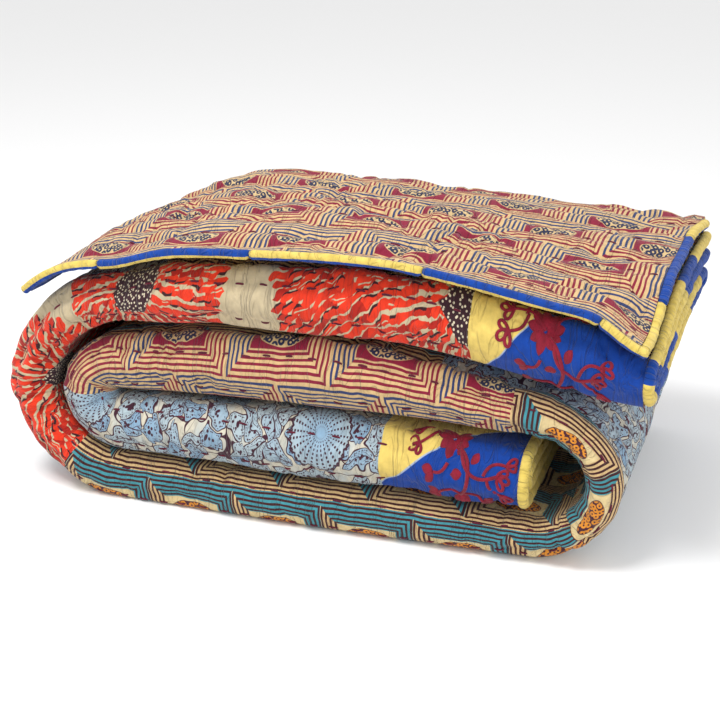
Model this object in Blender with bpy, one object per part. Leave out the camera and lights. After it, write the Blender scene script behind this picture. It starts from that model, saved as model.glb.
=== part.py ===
"""A patchwork quilt, folded lengthwise into four plies and rolled up, its last ply laid over the top.

Metres, +Z up, +X to the right, the rounded lengthwise fold facing -Y. The origin is on the surface that the
quilt lies on, under the middle of its box.

The cloth is described by two walks. The first, in X and Z, is the way that the folded strip runs: inner end,
round the inner left bend, round the right bend, along the bottom, round the outer left bend and over the top.
The second, in Y and across the strip, is the way that one cut through the strip runs from long edge to long
edge. Every point of the cloth is a place on both walks.
"""
import math
from typing import NamedTuple

import bmesh
import bpy
import numpy as np
from mathutils import Matrix, Vector

# Driving dimensions, in metres
PLY = 0.012              # quilted cloth: printed top, filling and backing
PLY_AIR = 0.003          # air between two folded plies
LAYER_AIR = 0.004        # air between two layers of the folded strip
DEPTH = 0.360            # front fold to the long edges at the back
RIB = 0.0022             # how deep a row of quilting draws the cloth in
RIB_PITCH = 0.032        # from one row of quilting to the next
BINDING = 0.0095         # how far the binding stands out past the cloth's edge
FLAP_BINDING = 0.0046    # half the height of the binding on the top ply
CLEAR = 0.0003           # between the cloth and the binding sewn over its edge
SEAM_GAP = 0.0004        # between two lengths of binding
BIND_LENGTH = 0.165      # one cut length of binding

LEFT_BEND_X = -0.208     # where the strip starts to turn at the left
INNER_END_X = 0.210      # the strip's inner short end
RIGHT_BEND_X = 0.222     # where the strip starts to turn at the right
TOP_END_X = 0.318        # the strip's outer short end
FLAP_LEFT_X = -0.302     # the top ply's left edge
FLAP_RIGHT_X = 0.312     # the top ply's right edge
FLAP_FRONT_Y = -0.176    # the top ply's front edge
FLAP_TURN = 36.0         # degrees of the outer left bend that the top ply is folded from
FLAP_EDGE = 0.9          # thickness of the top ply's bound edge, times half the binding's height
FLAP_FREE = 0.10         # how far from the fold at the back the top ply follows the strip
FLAP_WAVE = 0.0015       # half the height of the waves in the top ply
FLAP_WAVE_LENGTH = 0.17
FOLD_STEPS = 4           # stretches that the fold at the back is cut into
FLAP_STEPS = 20          # stretches of the top ply from back to front
FRONT_FIRST = 0.098      # first length of the front binding, then of the left and right ones
LEFT_FIRST = 0.070
RIGHT_FIRST = 0.090
END_BINDING = PLY / 2 - 0.0004     # half the height of the binding on the long edges and short ends

STRIP = 4 * PLY + 3 * PLY_AIR
OUTER = (STRIP - PLY) / 2          # middle of the outer plies, from the middle of the strip
INNER = (PLY + PLY_AIR) / 2        # middle of the inner plies
BACK = DEPTH / 2
FRONT_TURN = -BACK + STRIP / 2     # where the front fold starts to turn
BACK_TURN = BACK - STRIP / 4       # where the fold at the back starts to turn

# How full each layer of the strip is, times its plain thickness
LOFT_BOTTOM = 0.84
LOFT_SECOND = 1.14
LOFT_THIRD = 1.20
LOFT_TOP = 1.25

HEIGHT_BOTTOM = STRIP * LOFT_BOTTOM / 2
HEIGHT_SECOND = HEIGHT_BOTTOM + STRIP * (LOFT_BOTTOM + LOFT_SECOND) / 2 + LAYER_AIR
HEIGHT_THIRD = HEIGHT_SECOND + STRIP * (LOFT_SECOND + LOFT_THIRD) / 2 + LAYER_AIR
HEIGHT_TOP = HEIGHT_THIRD + STRIP * (LOFT_THIRD + LOFT_TOP) / 2 + LAYER_AIR

BASE = 0.0035            # up to this height the cloth is pressed flat by the weight on it
BASE_CORNERS = ((-0.1466, -0.1166), (0.1606, -0.1164), (-0.0237, 0.1428))
BASE_RISE = 0.0006       # the weight bears between these corners, and the base lifts outside them
BASE_EXACT = 0.0004      # how near to their edges still counts as between them
SWELL = 0.011            # rise of the top near the middle, its reach, where it lies and how it slants
SWELL_REACH = 0.15
SWELL_X = -0.02
SWELL_SLANT = 0.3
HUMP = 0.009             # a second rise at the back, its reach, and where it lies
HUMP_REACH = 0.07
HUMP_X = -0.17
BOW = 0.005              # how far the layers wander forward and back, and over what length
BOW_LENGTH = 0.55
BOW_X = 0.06

YELLOW = (0.72, 0.53, 0.12, 1.0)
BLUE = (0.01, 0.06, 0.46, 1.0)
CLOTH = (0.50, 0.22, 0.14, 1.0)


class Run(NamedTuple):
    """One straight stretch or one bend of a walk."""
    length: float        # of a straight stretch
    radius: float        # of a bend, 0 for a straight stretch
    turn: float          # degrees, to the left if above 0
    steps: int
    loft: float = 1.0    # how full the strip is here
    front: float = 0.0   # how far the front fold stands forward here


STRIP_PATH = (
    Run(INNER_END_X - LEFT_BEND_X, 0, 0, 7, LOFT_SECOND, 0.002),
    Run(0, (HEIGHT_THIRD - HEIGHT_SECOND) / 2, -180, 6, 1.14, -0.004),
    Run(RIGHT_BEND_X - LEFT_BEND_X, 0, 0, 7, LOFT_THIRD, -0.004),
    Run(0, (HEIGHT_THIRD - HEIGHT_BOTTOM) / 2, -180, 9, 0.64, 0.0),
    Run(RIGHT_BEND_X - LEFT_BEND_X, 0, 0, 7, LOFT_BOTTOM, 0.004),
    Run(0, (HEIGHT_TOP - HEIGHT_BOTTOM) / 2, -180, 10, 0.98, 0.0),
    Run(TOP_END_X - LEFT_BEND_X, 0, 0, 9, LOFT_TOP, 0.002),
)

SECTION = (
    Run(BACK - FRONT_TURN, 0, 0, 18),
    Run(0, OUTER, 180, 8),
    Run(BACK_TURN - FRONT_TURN, 0, 0, 5),
    Run(0, (OUTER - INNER) / 2, 180, 4),
    Run(BACK_TURN - FRONT_TURN, 0, 0, 2),
    Run(0, INNER, -180, 4),
    Run(BACK - FRONT_TURN, 0, 0, 2),
)


class Walk(NamedTuple):
    """Points of a walk, the way it goes at each, and how far along it each lies."""
    place: np.ndarray
    ahead: np.ndarray
    along: np.ndarray


def walk(runs, start, heading):
    """Follow straight stretches and bends from a starting point."""
    place, angle, along = np.array(start, float), math.radians(heading), 0.0
    places, angles, lengths = [place.copy()], [angle], [along]
    for run in runs:
        for _ in range(run.steps):
            step_turn = math.radians(run.turn) / run.steps
            arc = run.length / run.steps if not run.radius else run.radius * abs(step_turn)
            chord = arc if not run.radius else 2 * run.radius * math.sin(abs(step_turn) / 2)
            middle = angle + step_turn / 2
            place = place + chord * np.array([math.cos(middle), math.sin(middle)])
            angle += step_turn
            along += arc
            places.append(place.copy())
            angles.append(angle)
            lengths.append(along)
    angles = np.array(angles)
    return Walk(np.array(places), np.stack([np.cos(angles), np.sin(angles)], 1), np.array(lengths))


def run_middles(runs):
    """How far along a walk the middle of each stretch lies."""
    lengths = [run.length if not run.radius else run.radius * math.radians(abs(run.turn)) for run in runs]
    ends = np.cumsum(lengths)
    return ends - np.array(lengths) / 2


def rib_depth(along):
    """How far the quilting draws the cloth in: all at each row of stitches, none half-way between."""
    return RIB * np.cos(np.pi * along / RIB_PITCH) ** 2


class Strip:
    """The folded strip: where any place of its cut lies at any place along it."""

    def __init__(self):
        self.path = walk(STRIP_PATH, (INNER_END_X, HEIGHT_SECOND), 180.0)
        self.cut = walk(SECTION, (BACK, OUTER), 180.0)
        self.right = np.stack([self.cut.ahead[:, 1], -self.cut.ahead[:, 0]], 1)
        middles = run_middles(STRIP_PATH)
        self.loft = np.interp(self.path.along, middles, [run.loft for run in STRIP_PATH])
        self.front = np.interp(self.path.along, middles, [run.front for run in STRIP_PATH])

    def point(self, station, y, across, ahead=0.0):
        """A point at one or more stations of the path, y back, across the strip and ahead of the station."""
        place, way = self.path.place[station], self.path.ahead[station]
        outward = np.stack([-way[..., 1], way[..., 0]], -1)
        flat = place + outward * (across * self.loft[station])[..., None] + way * np.asarray(ahead)[..., None]
        shifted = y - self.front[station] * (BACK - y) / DEPTH
        return np.stack([flat[..., 0], shifted + 0 * flat[..., 0], flat[..., 1]], -1)

    def face(self, side):
        """The grid of points on one side of the cloth: stations by places of the cut."""
        ribs = rib_depth(self.cut.along) * (side > 0)
        offset = self.cut.place + self.right * (side * (PLY / 2 - ribs))[:, None]
        stations = np.arange(len(self.path.along))[:, None]
        return self.point(stations, offset[None, :, 0], offset[None, :, 1])


def smooth(value):
    """0 below 0, 1 above 1, and an even rise between."""
    value = np.clip(value, 0.0, 1.0)
    return value * value * (3 - 2 * value)


class Slope(NamedTuple):
    """A change that sets in softly at a place, over a width, and keeps its full size beyond."""
    size: float
    start: float
    width: float

    def at(self, place):
        """How much of the change there is at a place."""
        return self.size * smooth((place - self.start) / self.width)


# What makes the pack lie as it does. Places are metres, or shares of the height where it says so.
LIFT = Slope(1.0, 0.08, 0.90)            # share of every rise and fall, by share of the height
RIGHT_SAG = Slope(0.024, 0.06, 0.28)     # the right end hangs down
RIGHT_HELD = Slope(0.75, -0.10, 0.25)    # but less so towards the back
LEFT_SAG = Slope(0.018, 0.10, 0.22)
BACK_SAG = Slope(0.016, -0.02, 0.22)
BACK_HUMP = Slope(1.0, -0.02, 0.15)
LEFT_LEAN = Slope(0.014, 0.12, 0.15)     # the outer left bend leans inwards
LEAN_RISE = Slope(1.0, 0.10, 0.13)
LEFT_SPREAD = Slope(0.004, 0.0, 0.25)
SKEW = Slope(0.030, 0.20, 0.10)          # the strip's outer end runs to the right towards the back
SKEW_RISE = Slope(1.0, 0.78, 0.15)       # by share of the height
BOW_RISE = Slope(1.0, 0.05, 0.50)        # by share of the height


def base_height(x, y):
    """Height of the flattened base: level in a three-cornered middle, and a hair's breadth higher outside."""
    outside = np.full(np.shape(x), -1.0)
    for start, end in zip(BASE_CORNERS, BASE_CORNERS[1:] + BASE_CORNERS[:1]):
        ahead = np.subtract(end, start) / math.dist(start, end)
        outside = np.maximum(outside, (x - start[0]) * ahead[1] - (y - start[1]) * ahead[0])
    return BASE + BASE_RISE * (outside > BASE_EXACT)


def settle(points):
    """Bend the even pack to the way it lies: the base is pressed flat, and the layers above sag and lean."""
    x, y, z = points[..., 0], points[..., 1], points[..., 2]
    height = z / HEIGHT_TOP
    sag = RIGHT_SAG.at(x) * (1 - RIGHT_HELD.at(y)) + LEFT_SAG.at(-x) + BACK_SAG.at(y)
    swell = SWELL * np.exp(-((x - SWELL_X + SWELL_SLANT * y) / SWELL_REACH) ** 2)
    hump = HUMP * np.exp(-((x - HUMP_X) / HUMP_REACH) ** 2) * BACK_HUMP.at(y)
    lean = LEFT_LEAN.at(-x) * LEAN_RISE.at(z) - LEFT_SPREAD.at(-x)
    skew = SKEW.at(x) * (y + BACK) * SKEW_RISE.at(height)
    bow = BOW * np.sin(2 * np.pi * (x - BOW_X) / BOW_LENGTH) * BOW_RISE.at(height)
    lift = LIFT.at(height)
    level = np.maximum(z, base_height(x, y))
    return np.stack([x + lean * lift + skew, y + bow, level + lift * (swell + hump - sag)], -1)


def flap_middle(strip, first):
    """Middle of the top ply: columns from the station it is folded from, rows from the back to the front.

    Near the back each column still follows the strip it is folded from; further forward the columns spread
    evenly between the ply's left and right edge, and drape over the bend at the left.
    """
    stations = np.arange(first, len(strip.path.along))
    share = np.linspace(0.0, 1.0, len(stations))
    half_turn = (PLY + PLY_AIR) / 2
    fold = np.radians(np.linspace(0, 180, FOLD_STEPS + 1))
    rows = np.arange(1, FLAP_STEPS + 1) / FLAP_STEPS * (BACK - FLAP_FRONT_Y)
    y = np.concatenate([BACK + half_turn * np.sin(fold), BACK - rows])
    rise = np.concatenate([half_turn * (1 - np.cos(fold)), np.full(len(rows), 2 * half_turn)])
    travel = np.concatenate([half_turn * fold, half_turn * math.pi + rows])
    held = strip.point(stations[:, None], y[None, :], (OUTER + rise)[None, :])
    spread_x = FLAP_LEFT_X + share * (FLAP_RIGHT_X - FLAP_LEFT_X)
    bend_height = (HEIGHT_TOP + HEIGHT_BOTTOM) / 2
    bend_radius = HEIGHT_TOP + (OUTER + 2 * half_turn) * LOFT_TOP - bend_height
    past = np.clip(LEFT_BEND_X - spread_x, 0, None)
    draped = np.empty_like(held)
    draped[..., 0] = spread_x[:, None]
    draped[..., 1] = y[None, :]
    draped[..., 2] = (bend_height + np.sqrt(bend_radius ** 2 - past ** 2))[:, None]
    draped[..., 2] += FLAP_WAVE * (1 - np.cos(2 * np.pi * travel / FLAP_WAVE_LENGTH))[None, :]
    freed = smooth((travel - half_turn * math.pi) / FLAP_FREE)[None, :, None]
    return held * (1 - freed) + draped * freed, travel


def grid_normals(grid):
    """Unit normals of a grid of points, and the unit ways along its columns and its rows."""
    across = np.gradient(grid, axis=0)
    forward = np.gradient(grid, axis=1)
    normal = np.cross(across, forward)
    return [part / np.linalg.norm(part, axis=-1, keepdims=True) for part in (-normal, across, forward)]


def material(name, colour):
    """Matt cotton of one colour."""
    made = bpy.data.materials.new(name)
    made.use_nodes = True
    shader = made.node_tree.nodes["Principled BSDF"]
    shader.inputs["Base Color"].default_value = colour
    shader.inputs["Roughness"].default_value = 0.9
    shader.inputs["Metallic"].default_value = 0.0
    return made


def solid(name, points, faces, finish):
    """One closed body from its points and faces, with its faces turned outwards."""
    mesh = bpy.data.meshes.new(name)
    mesh.from_pydata(settle(points).tolist(), [], faces)
    mesh.validate()
    work = bmesh.new()
    work.from_mesh(mesh)
    bmesh.ops.recalc_face_normals(work, faces=work.faces)
    work.to_mesh(mesh)
    work.free()
    mesh.shade_smooth()
    mesh.materials.append(finish)
    item = bpy.data.objects.new(name, mesh)
    bpy.context.scene.collection.objects.link(item)
    return item


def quilt(strip, first, finish):
    """The quilt itself: the folded strip and, joined to it along the back, the top ply."""
    outer, inner = strip.face(1), strip.face(-1)
    rows, columns = outer.shape[:2]
    points = np.concatenate([outer.reshape(-1, 3), inner.reshape(-1, 3)])
    upper = np.arange(rows * columns).reshape(rows, columns)
    lower = upper + rows * columns
    faces = []
    for row in range(rows - 1):
        for column in range(columns - 1):
            for side in (upper, lower):
                faces.append((side[row, column], side[row, column + 1],
                              side[row + 1, column + 1], side[row + 1, column]))
        edges = (-1,) if row >= first else (0, -1)
        for edge in edges:
            faces.append((upper[row, edge], upper[row + 1, edge], lower[row + 1, edge], lower[row, edge]))
    for row in (0, rows - 1):
        for column in range(columns - 1):
            faces.append((upper[row, column], upper[row, column + 1],
                          lower[row, column + 1], lower[row, column]))

    middle, travel = flap_middle(strip, first)
    normal = grid_normals(middle)[0]
    bound = np.zeros(middle.shape[:2], bool)
    bound[0, FOLD_STEPS + 2:] = bound[-1, FOLD_STEPS + 2:] = bound[:, -1] = True
    thick = np.where(bound, FLAP_BINDING * FLAP_EDGE, PLY / 2)
    ribs = np.where(bound, 0.0, rib_depth(travel)[None, :])
    top_face = middle + normal * (thick - ribs)[..., None]
    under_face = middle - normal * thick[..., None]
    start = len(points)
    count = middle.shape[0] * (middle.shape[1] - 1)
    points = np.concatenate([points, under_face[:, 1:].reshape(-1, 3), top_face[:, 1:].reshape(-1, 3)])
    shape = (middle.shape[0], middle.shape[1] - 1)
    under = np.concatenate([upper[first:, :1], start + np.arange(count).reshape(shape)], 1)
    top = np.concatenate([lower[first:, :1], start + count + np.arange(count).reshape(shape)], 1)
    for column in range(under.shape[0] - 1):
        for row in range(under.shape[1] - 1):
            for side in (under, top):
                faces.append((side[column, row], side[column + 1, row],
                              side[column + 1, row + 1], side[column, row + 1]))
        faces.append((under[column, -1], under[column + 1, -1], top[column + 1, -1], top[column, -1]))
    for column in (0, -1):
        for row in range(under.shape[1] - 1):
            faces.append((under[column, row], under[column, row + 1],
                          top[column, row + 1], top[column, row]))
    return solid("quilt", points, [tuple(int(i) for i in face) for face in faces], finish)


def bead_profile(half):
    """The cut of a binding: flat against the cloth's edge and rounded outside, as (out, across)."""
    return np.array([(CLEAR, -half), (BINDING * 0.62, -half), (BINDING, -half * 0.35),
                     (BINDING, half * 0.35), (BINDING * 0.62, half), (CLEAR, half)])


def bead(name, rings, finish):
    """A length of binding from its rings of points."""
    count, around = rings.shape[:2]
    number = np.arange(count * around).reshape(count, around)
    faces = [tuple(number[0].tolist()), tuple(number[-1].tolist())]
    for ring in range(count - 1):
        for corner in range(around):
            after = (corner + 1) % around
            faces.append((int(number[ring, corner]), int(number[ring, after]),
                          int(number[ring + 1, after]), int(number[ring + 1, corner])))
    return solid(name, rings.reshape(-1, 3), faces, finish)


def edge_rings(centre, out, across):
    """Rings of the binding along an edge, from its points and its two ways at each."""
    profile = bead_profile(FLAP_BINDING)
    return (centre[:, None] + out[:, None] * profile[None, :, :1] + across[:, None] * profile[None, :, 1:])


def cut_lengths(total, first):
    """Where the lengths of binding start and end along an edge."""
    joins = np.arange(first, total - BIND_LENGTH * 0.2, BIND_LENGTH)
    bounds = np.concatenate([[0.0], joins, [total]])
    return [(a + SEAM_GAP / 2, b - SEAM_GAP / 2) for a, b in zip(bounds[:-1], bounds[1:])]


def flap_edge(name, centre, out, across, first, colours):
    """The lengths of binding, in turn yellow and blue, along one edge of the top ply."""
    along = np.concatenate([[0.0], np.cumsum(np.linalg.norm(np.diff(centre, axis=0), axis=1))])
    for index, (start, end) in enumerate(cut_lengths(along[-1], first)):
        inside = along[(along > start + 0.001) & (along < end - 0.001)]
        at = np.concatenate([[start], inside, [end]])
        sample = [np.stack([np.interp(at, along, part[:, axis]) for axis in range(3)], 1)
                  for part in (centre, out, across)]
        bead(f"{name}_{index + 1}", edge_rings(*sample), colours[index % 2])


def flap_bindings(strip, first, colours):
    """The bound left, front and right edges of the top ply."""
    middle = flap_middle(strip, first)[0]
    normal, right, forward = grid_normals(middle)
    front, way = middle[:, -1], right[:, -1]
    ends = np.array([-1.0, 1.0])[:, None] * (BINDING + CLEAR) * way[[0, -1]]
    long_front = np.concatenate([front[:1] + ends[:1], front, front[-1:] + ends[1:]])
    repeat = [0, *range(len(front)), -1]
    flap_edge("front_binding", long_front, forward[:, -1][repeat], normal[:, -1][repeat],
              FRONT_FIRST, colours)
    rows = slice(FOLD_STEPS + 1, None)
    sides = (("left_binding", 0, -1, LEFT_FIRST), ("right_binding", -1, 1, RIGHT_FIRST))
    for name, column, sign, length in sides:
        edge = middle[column, rows][::-1]
        out, across = sign * right[column, rows][::-1], normal[column, rows][::-1]
        flap_edge(name, edge, out, across, length, colours)


def end_binding(strip, name, station, sign, finish):
    """The binding over one short end of the strip, which follows its plies back and forth."""
    profile = bead_profile(END_BINDING)
    rings = []
    for place, right in zip(strip.cut.place, strip.right):
        cut = place + right * profile[:, 1:]
        rings.append(strip.point(np.full(len(profile), station), cut[:, 0], cut[:, 1], sign * profile[:, 0]))
    return bead(name, np.array(rings), finish)


def long_binding(strip, name, across, last, finish):
    """The binding over a long edge of the quilt, which follows the roll along its back."""
    profile = bead_profile(END_BINDING)
    rings = [strip.point(np.full(len(profile), station), BACK + profile[:, 0], across + profile[:, 1])
             for station in range(last)]
    return bead(name, np.array(rings), finish)


def stand_on_origin(items):
    """Move every mesh alike, so that the origin is under the middle of the box of them all."""
    corners = np.array([corner for item in items for corner in item.bound_box])
    low, high = corners.min(axis=0), corners.max(axis=0)
    shift = Vector((-(low[0] + high[0]) / 2, -(low[1] + high[1]) / 2, -low[2]))
    for item in items:
        item.data.transform(Matrix.Translation(shift))


def main():
    """Clear the scene and build the quilt and its bindings."""
    for item in list(bpy.data.objects):
        bpy.data.objects.remove(item, do_unlink=True)
    strip = Strip()
    steps = [run.steps for run in STRIP_PATH]
    first = sum(steps[:-1]) - round(FLAP_TURN / 180 * steps[-2])
    cloth = material("quilted_cotton", CLOTH)
    yellow = material("yellow_binding", YELLOW)
    blue = material("blue_binding", BLUE)
    quilt(strip, first, cloth)
    flap_bindings(strip, first, (yellow, blue))
    end_binding(strip, "inner_end_binding", 0, -1, yellow)
    end_binding(strip, "outer_end_binding", len(strip.path.along) - 1, 1, yellow)
    long_binding(strip, "outer_long_binding", OUTER, first, blue)
    long_binding(strip, "inner_long_binding", INNER, len(strip.path.along), blue)
    stand_on_origin(list(bpy.context.scene.collection.objects))


main()
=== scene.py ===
"""A folded patchwork quilt, dressed: printed and pieced cotton, quilting stitches, sprigs and bound edges.

Every surface is a function of two places on the flat cloth, carried onto the folds that the quilt lies in.
Metres, +Z up. A place on the cloth is (along, across): metres along the folded strip from its inner end,
and metres across the cloth from the long edge that lies outermost at the back.
"""
import logging
import math
from dataclasses import dataclass, field, replace
from enum import Enum
from functools import partialmethod
from typing import Any, Callable, NamedTuple

import bpy
import numpy as np
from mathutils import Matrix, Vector


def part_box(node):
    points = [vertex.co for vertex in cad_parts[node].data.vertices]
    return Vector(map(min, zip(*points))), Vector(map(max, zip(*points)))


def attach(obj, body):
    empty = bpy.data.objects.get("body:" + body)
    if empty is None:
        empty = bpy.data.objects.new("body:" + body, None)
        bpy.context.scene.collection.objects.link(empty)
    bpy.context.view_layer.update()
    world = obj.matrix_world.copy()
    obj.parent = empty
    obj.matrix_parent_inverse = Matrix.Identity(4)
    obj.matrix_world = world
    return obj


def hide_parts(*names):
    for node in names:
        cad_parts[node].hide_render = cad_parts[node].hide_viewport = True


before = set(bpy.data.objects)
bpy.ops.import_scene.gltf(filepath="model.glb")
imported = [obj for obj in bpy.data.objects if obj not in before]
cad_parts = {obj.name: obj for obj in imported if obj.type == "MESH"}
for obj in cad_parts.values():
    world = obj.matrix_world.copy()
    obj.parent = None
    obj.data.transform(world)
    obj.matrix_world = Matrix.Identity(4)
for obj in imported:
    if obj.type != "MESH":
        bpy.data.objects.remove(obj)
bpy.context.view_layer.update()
LOG = logging.getLogger("quilt")
Array = np.ndarray

# Sizes of the folded pack, in metres, the same as the solids'
PLY = 0.012
PLY_AIR = 0.003
LAYER_AIR = 0.004
DEPTH = 0.360
RIB_PITCH = 0.032
BINDING = 0.0095
FLAP_BINDING = 0.0046
END_ROUND = 0.0035       # over which a binding draws in at its ends
CLEAR = 0.0003
SEAM_GAP = 0.0004
BIND_LENGTH = 0.165
LEFT_BEND_X = -0.208
INNER_END_X = 0.210
RIGHT_BEND_X = 0.222
TOP_END_X = 0.318
FLAP_LEFT_X = -0.302
FLAP_RIGHT_X = 0.312
FLAP_FRONT_Y = -0.176
FLAP_TURN = 36.0
FLAP_EDGE = 0.9
FLAP_FREE = 0.10
FLAP_WAVE = 0.0015
FLAP_WAVE_LENGTH = 0.17
FRONT_FIRST = 0.098
LEFT_FIRST = 0.070
RIGHT_FIRST = 0.090
FLAP_ROW = 0.0178        # from the fold at the back to where the side bindings end
END_BINDING = PLY / 2 - 0.0004
BASE = 0.0035
BASE_CORNERS = ((-0.1466, -0.1166), (0.1606, -0.1164), (-0.0237, 0.1428))
BASE_RISE = 0.0006
BASE_EXACT = 0.0004
SWELL = 0.011
SWELL_REACH = 0.15
HUMP = 0.009
HUMP_REACH = 0.07
HUMP_X = -0.17
BOW = 0.005
BOW_LENGTH = 0.55

STRIP = 4 * PLY + 3 * PLY_AIR
OUTER = (STRIP - PLY) / 2
INNER = (PLY + PLY_AIR) / 2
BACK = DEPTH / 2
FRONT_TURN = -BACK + STRIP / 2
BACK_TURN = BACK - STRIP / 4

LOFT_BOTTOM = 0.84
LOFT_SECOND = 1.14
LOFT_THIRD = 1.20
LOFT_TOP = 1.25
HEIGHT_BOTTOM = STRIP * LOFT_BOTTOM / 2
HEIGHT_SECOND = HEIGHT_BOTTOM + STRIP * (LOFT_BOTTOM + LOFT_SECOND) / 2 + LAYER_AIR
HEIGHT_THIRD = HEIGHT_SECOND + STRIP * (LOFT_SECOND + LOFT_THIRD) / 2 + LAYER_AIR
HEIGHT_TOP = HEIGHT_THIRD + STRIP * (LOFT_THIRD + LOFT_TOP) / 2 + LAYER_AIR

# How finely the cloth is drawn, and how its quilting stands
ALONG_STEP = 0.0044      # between two points along the strip
RIB_RISE = 0.0046        # from a row of stitches to the top of the puff beside it
PUCKER = 0.0078          # gathers that the stitches pull across the folds
LUMP = 0.0024            # slow rise and fall of the filling
STITCH_LENGTH = 0.0105
STITCH_PITCH = 0.0235
STITCH_RADIUS = 0.00095


class Run(NamedTuple):
    """One straight stretch or one bend of a walk.

    Args:
        length: length of a straight stretch.
        radius: radius of a bend, 0 for a straight stretch.
        turn: degrees turned, to the left if above 0.
        steps: stretches that the solid is cut into here.
        loft: how full the strip is here.
        front: how far the front fold stands forward here.
    """
    length: float
    radius: float
    turn: float
    steps: int
    loft: float = 1.0
    front: float = 0.0

    @property
    def arc(self) -> float:
        """The length walked."""
        return self.length if not self.radius else self.radius * math.radians(abs(self.turn))


STRIP_PATH = (
    Run(INNER_END_X - LEFT_BEND_X, 0, 0, 7, LOFT_SECOND, 0.002),
    Run(0, (HEIGHT_THIRD - HEIGHT_SECOND) / 2, -180, 6, 1.14, -0.004),
    Run(RIGHT_BEND_X - LEFT_BEND_X, 0, 0, 7, LOFT_THIRD, -0.004),
    Run(0, (HEIGHT_THIRD - HEIGHT_BOTTOM) / 2, -180, 9, 0.64, 0.0),
    Run(RIGHT_BEND_X - LEFT_BEND_X, 0, 0, 7, LOFT_BOTTOM, 0.004),
    Run(0, (HEIGHT_TOP - HEIGHT_BOTTOM) / 2, -180, 10, 0.98, 0.0),
    Run(TOP_END_X - LEFT_BEND_X, 0, 0, 9, LOFT_TOP, 0.002),
)

SECTION = (
    Run(BACK - FRONT_TURN, 0, 0, 36),
    Run(0, OUTER, 180, 22),
    Run(BACK_TURN - FRONT_TURN, 0, 0, 12),
    Run(0, (OUTER - INNER) / 2, 180, 5),
    Run(BACK_TURN - FRONT_TURN, 0, 0, 3),
    Run(0, INNER, -180, 6),
    Run(BACK - FRONT_TURN, 0, 0, 3),
)


class Walk:
    """A smooth way of straights and bends that can be asked for its place and heading anywhere.

    Args:
        runs: the stretches in turn.
        start: where the walk starts.
        heading: the way it sets out, in degrees.
    """

    def __init__(self, runs: tuple[Run, ...], start: tuple[float, float], heading: float) -> None:
        """Work out the walk's places and headings once, in a fine table."""
        self.runs = runs
        self.ends = np.concatenate([[0.0], np.cumsum([run.arc for run in runs])])
        self.length = float(self.ends[-1])
        self.steps = np.concatenate([[0.0]] + [
            low + run.arc * np.arange(1, run.steps + 1) / run.steps for low, run in zip(self.ends, runs)])
        turns = np.radians([run.turn for run in runs])
        angles = math.radians(heading) + np.concatenate([[0.0], np.cumsum(turns)])
        self._table = np.linspace(0.0, self.length, 4001)
        self._angle = np.interp(self._table, self.ends, angles)
        self._place = np.empty((len(self._table), 2))
        corner = np.array(start, float)
        for index, run in enumerate(runs):
            inside = (self._table >= self.ends[index]) & (self._table <= self.ends[index + 1])
            travelled = self._table[inside] - self.ends[index]
            self._place[inside] = self._stretch(run, corner, angles[index], travelled)
            corner = self._stretch(run, corner, angles[index], np.array([run.arc]))[0]

    @staticmethod
    def _stretch(run: Run, start: Array, angle: float, along: Array) -> Array:
        """Places along one stretch: a straight line, or an arc about the point one radius to the side."""
        ahead = np.array([math.cos(angle), math.sin(angle)])
        if not run.radius:
            return start + along[:, None] * ahead
        side = math.copysign(1.0, run.turn)
        left = np.array([-ahead[1], ahead[0]]) * side
        turned = along / run.radius
        return start + run.radius * (np.sin(turned)[:, None] * ahead + (1 - np.cos(turned))[:, None] * left)

    def place(self, along: Array) -> Array:
        """The place at each distance along the walk."""
        return np.stack([np.interp(along, self._table, self._place[:, axis]) for axis in (0, 1)], -1)

    def ahead(self, along: Array) -> Array:
        """The unit way ahead at each distance along the walk."""
        angle = np.interp(along, self._table, self._angle)
        return np.stack([np.cos(angle), np.sin(angle)], -1)

    def blend(self, along: Array, name: str) -> Array:
        """A property of the stretches, changing evenly from the middle of each to the middle of the next."""
        middles = (self.ends[:-1] + self.ends[1:]) / 2
        return np.interp(along, middles, [getattr(run, name) for run in self.runs])


def smooth(value: Array) -> Array:
    """0 below 0, 1 above 1, and an even rise between."""
    value = np.clip(value, 0.0, 1.0)
    return value * value * (3 - 2 * value)


class Slope(NamedTuple):
    """A change that sets in softly at a place, over a width, and keeps its full size beyond.

    Args:
        size: the full size of the change.
        start: the place where it sets in.
        width: over how long it grows.
    """
    size: float
    start: float
    width: float

    def at(self, place: Array) -> Array:
        """How much of the change there is at a place."""
        return self.size * smooth((place - self.start) / self.width)


# What makes the pack lie as it does, the same as in the solids: metres, or shares of the height
LIFT = Slope(1.0, 0.08, 0.90)            # share of every rise and fall, by share of the height
RIGHT_SAG = Slope(0.024, 0.06, 0.28)     # the right end hangs down
RIGHT_HELD = Slope(0.75, -0.10, 0.25)    # but less so towards the back
LEFT_SAG = Slope(0.018, 0.10, 0.22)
BACK_SAG = Slope(0.016, -0.02, 0.22)
BACK_HUMP = Slope(1.0, -0.02, 0.15)
LEFT_LEAN = Slope(0.014, 0.12, 0.15)     # the outer left bend leans inwards
LEAN_RISE = Slope(1.0, 0.10, 0.13)
LEFT_SPREAD = Slope(0.004, 0.0, 0.25)
SKEW = Slope(0.030, 0.20, 0.10)          # the strip's outer end runs to the right towards the back
SKEW_RISE = Slope(1.0, 0.78, 0.15)       # by share of the height
BOW_RISE = Slope(1.0, 0.05, 0.50)        # by share of the height

# What the cloth does beyond the solids: the top layer's front right corner hangs over, and its left dips
CORNER_DROOP = Slope(0.024, 0.262, 0.060)
DIP = 0.010
DIP_REACH = 0.055
DIP_X = -0.205
FRONT_SHARE = Slope(1.0, 0.04, 0.11)
TOP_RISE = Slope(1.0, HEIGHT_TOP - OUTER * LOFT_TOP, STRIP * LOFT_TOP)


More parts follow.
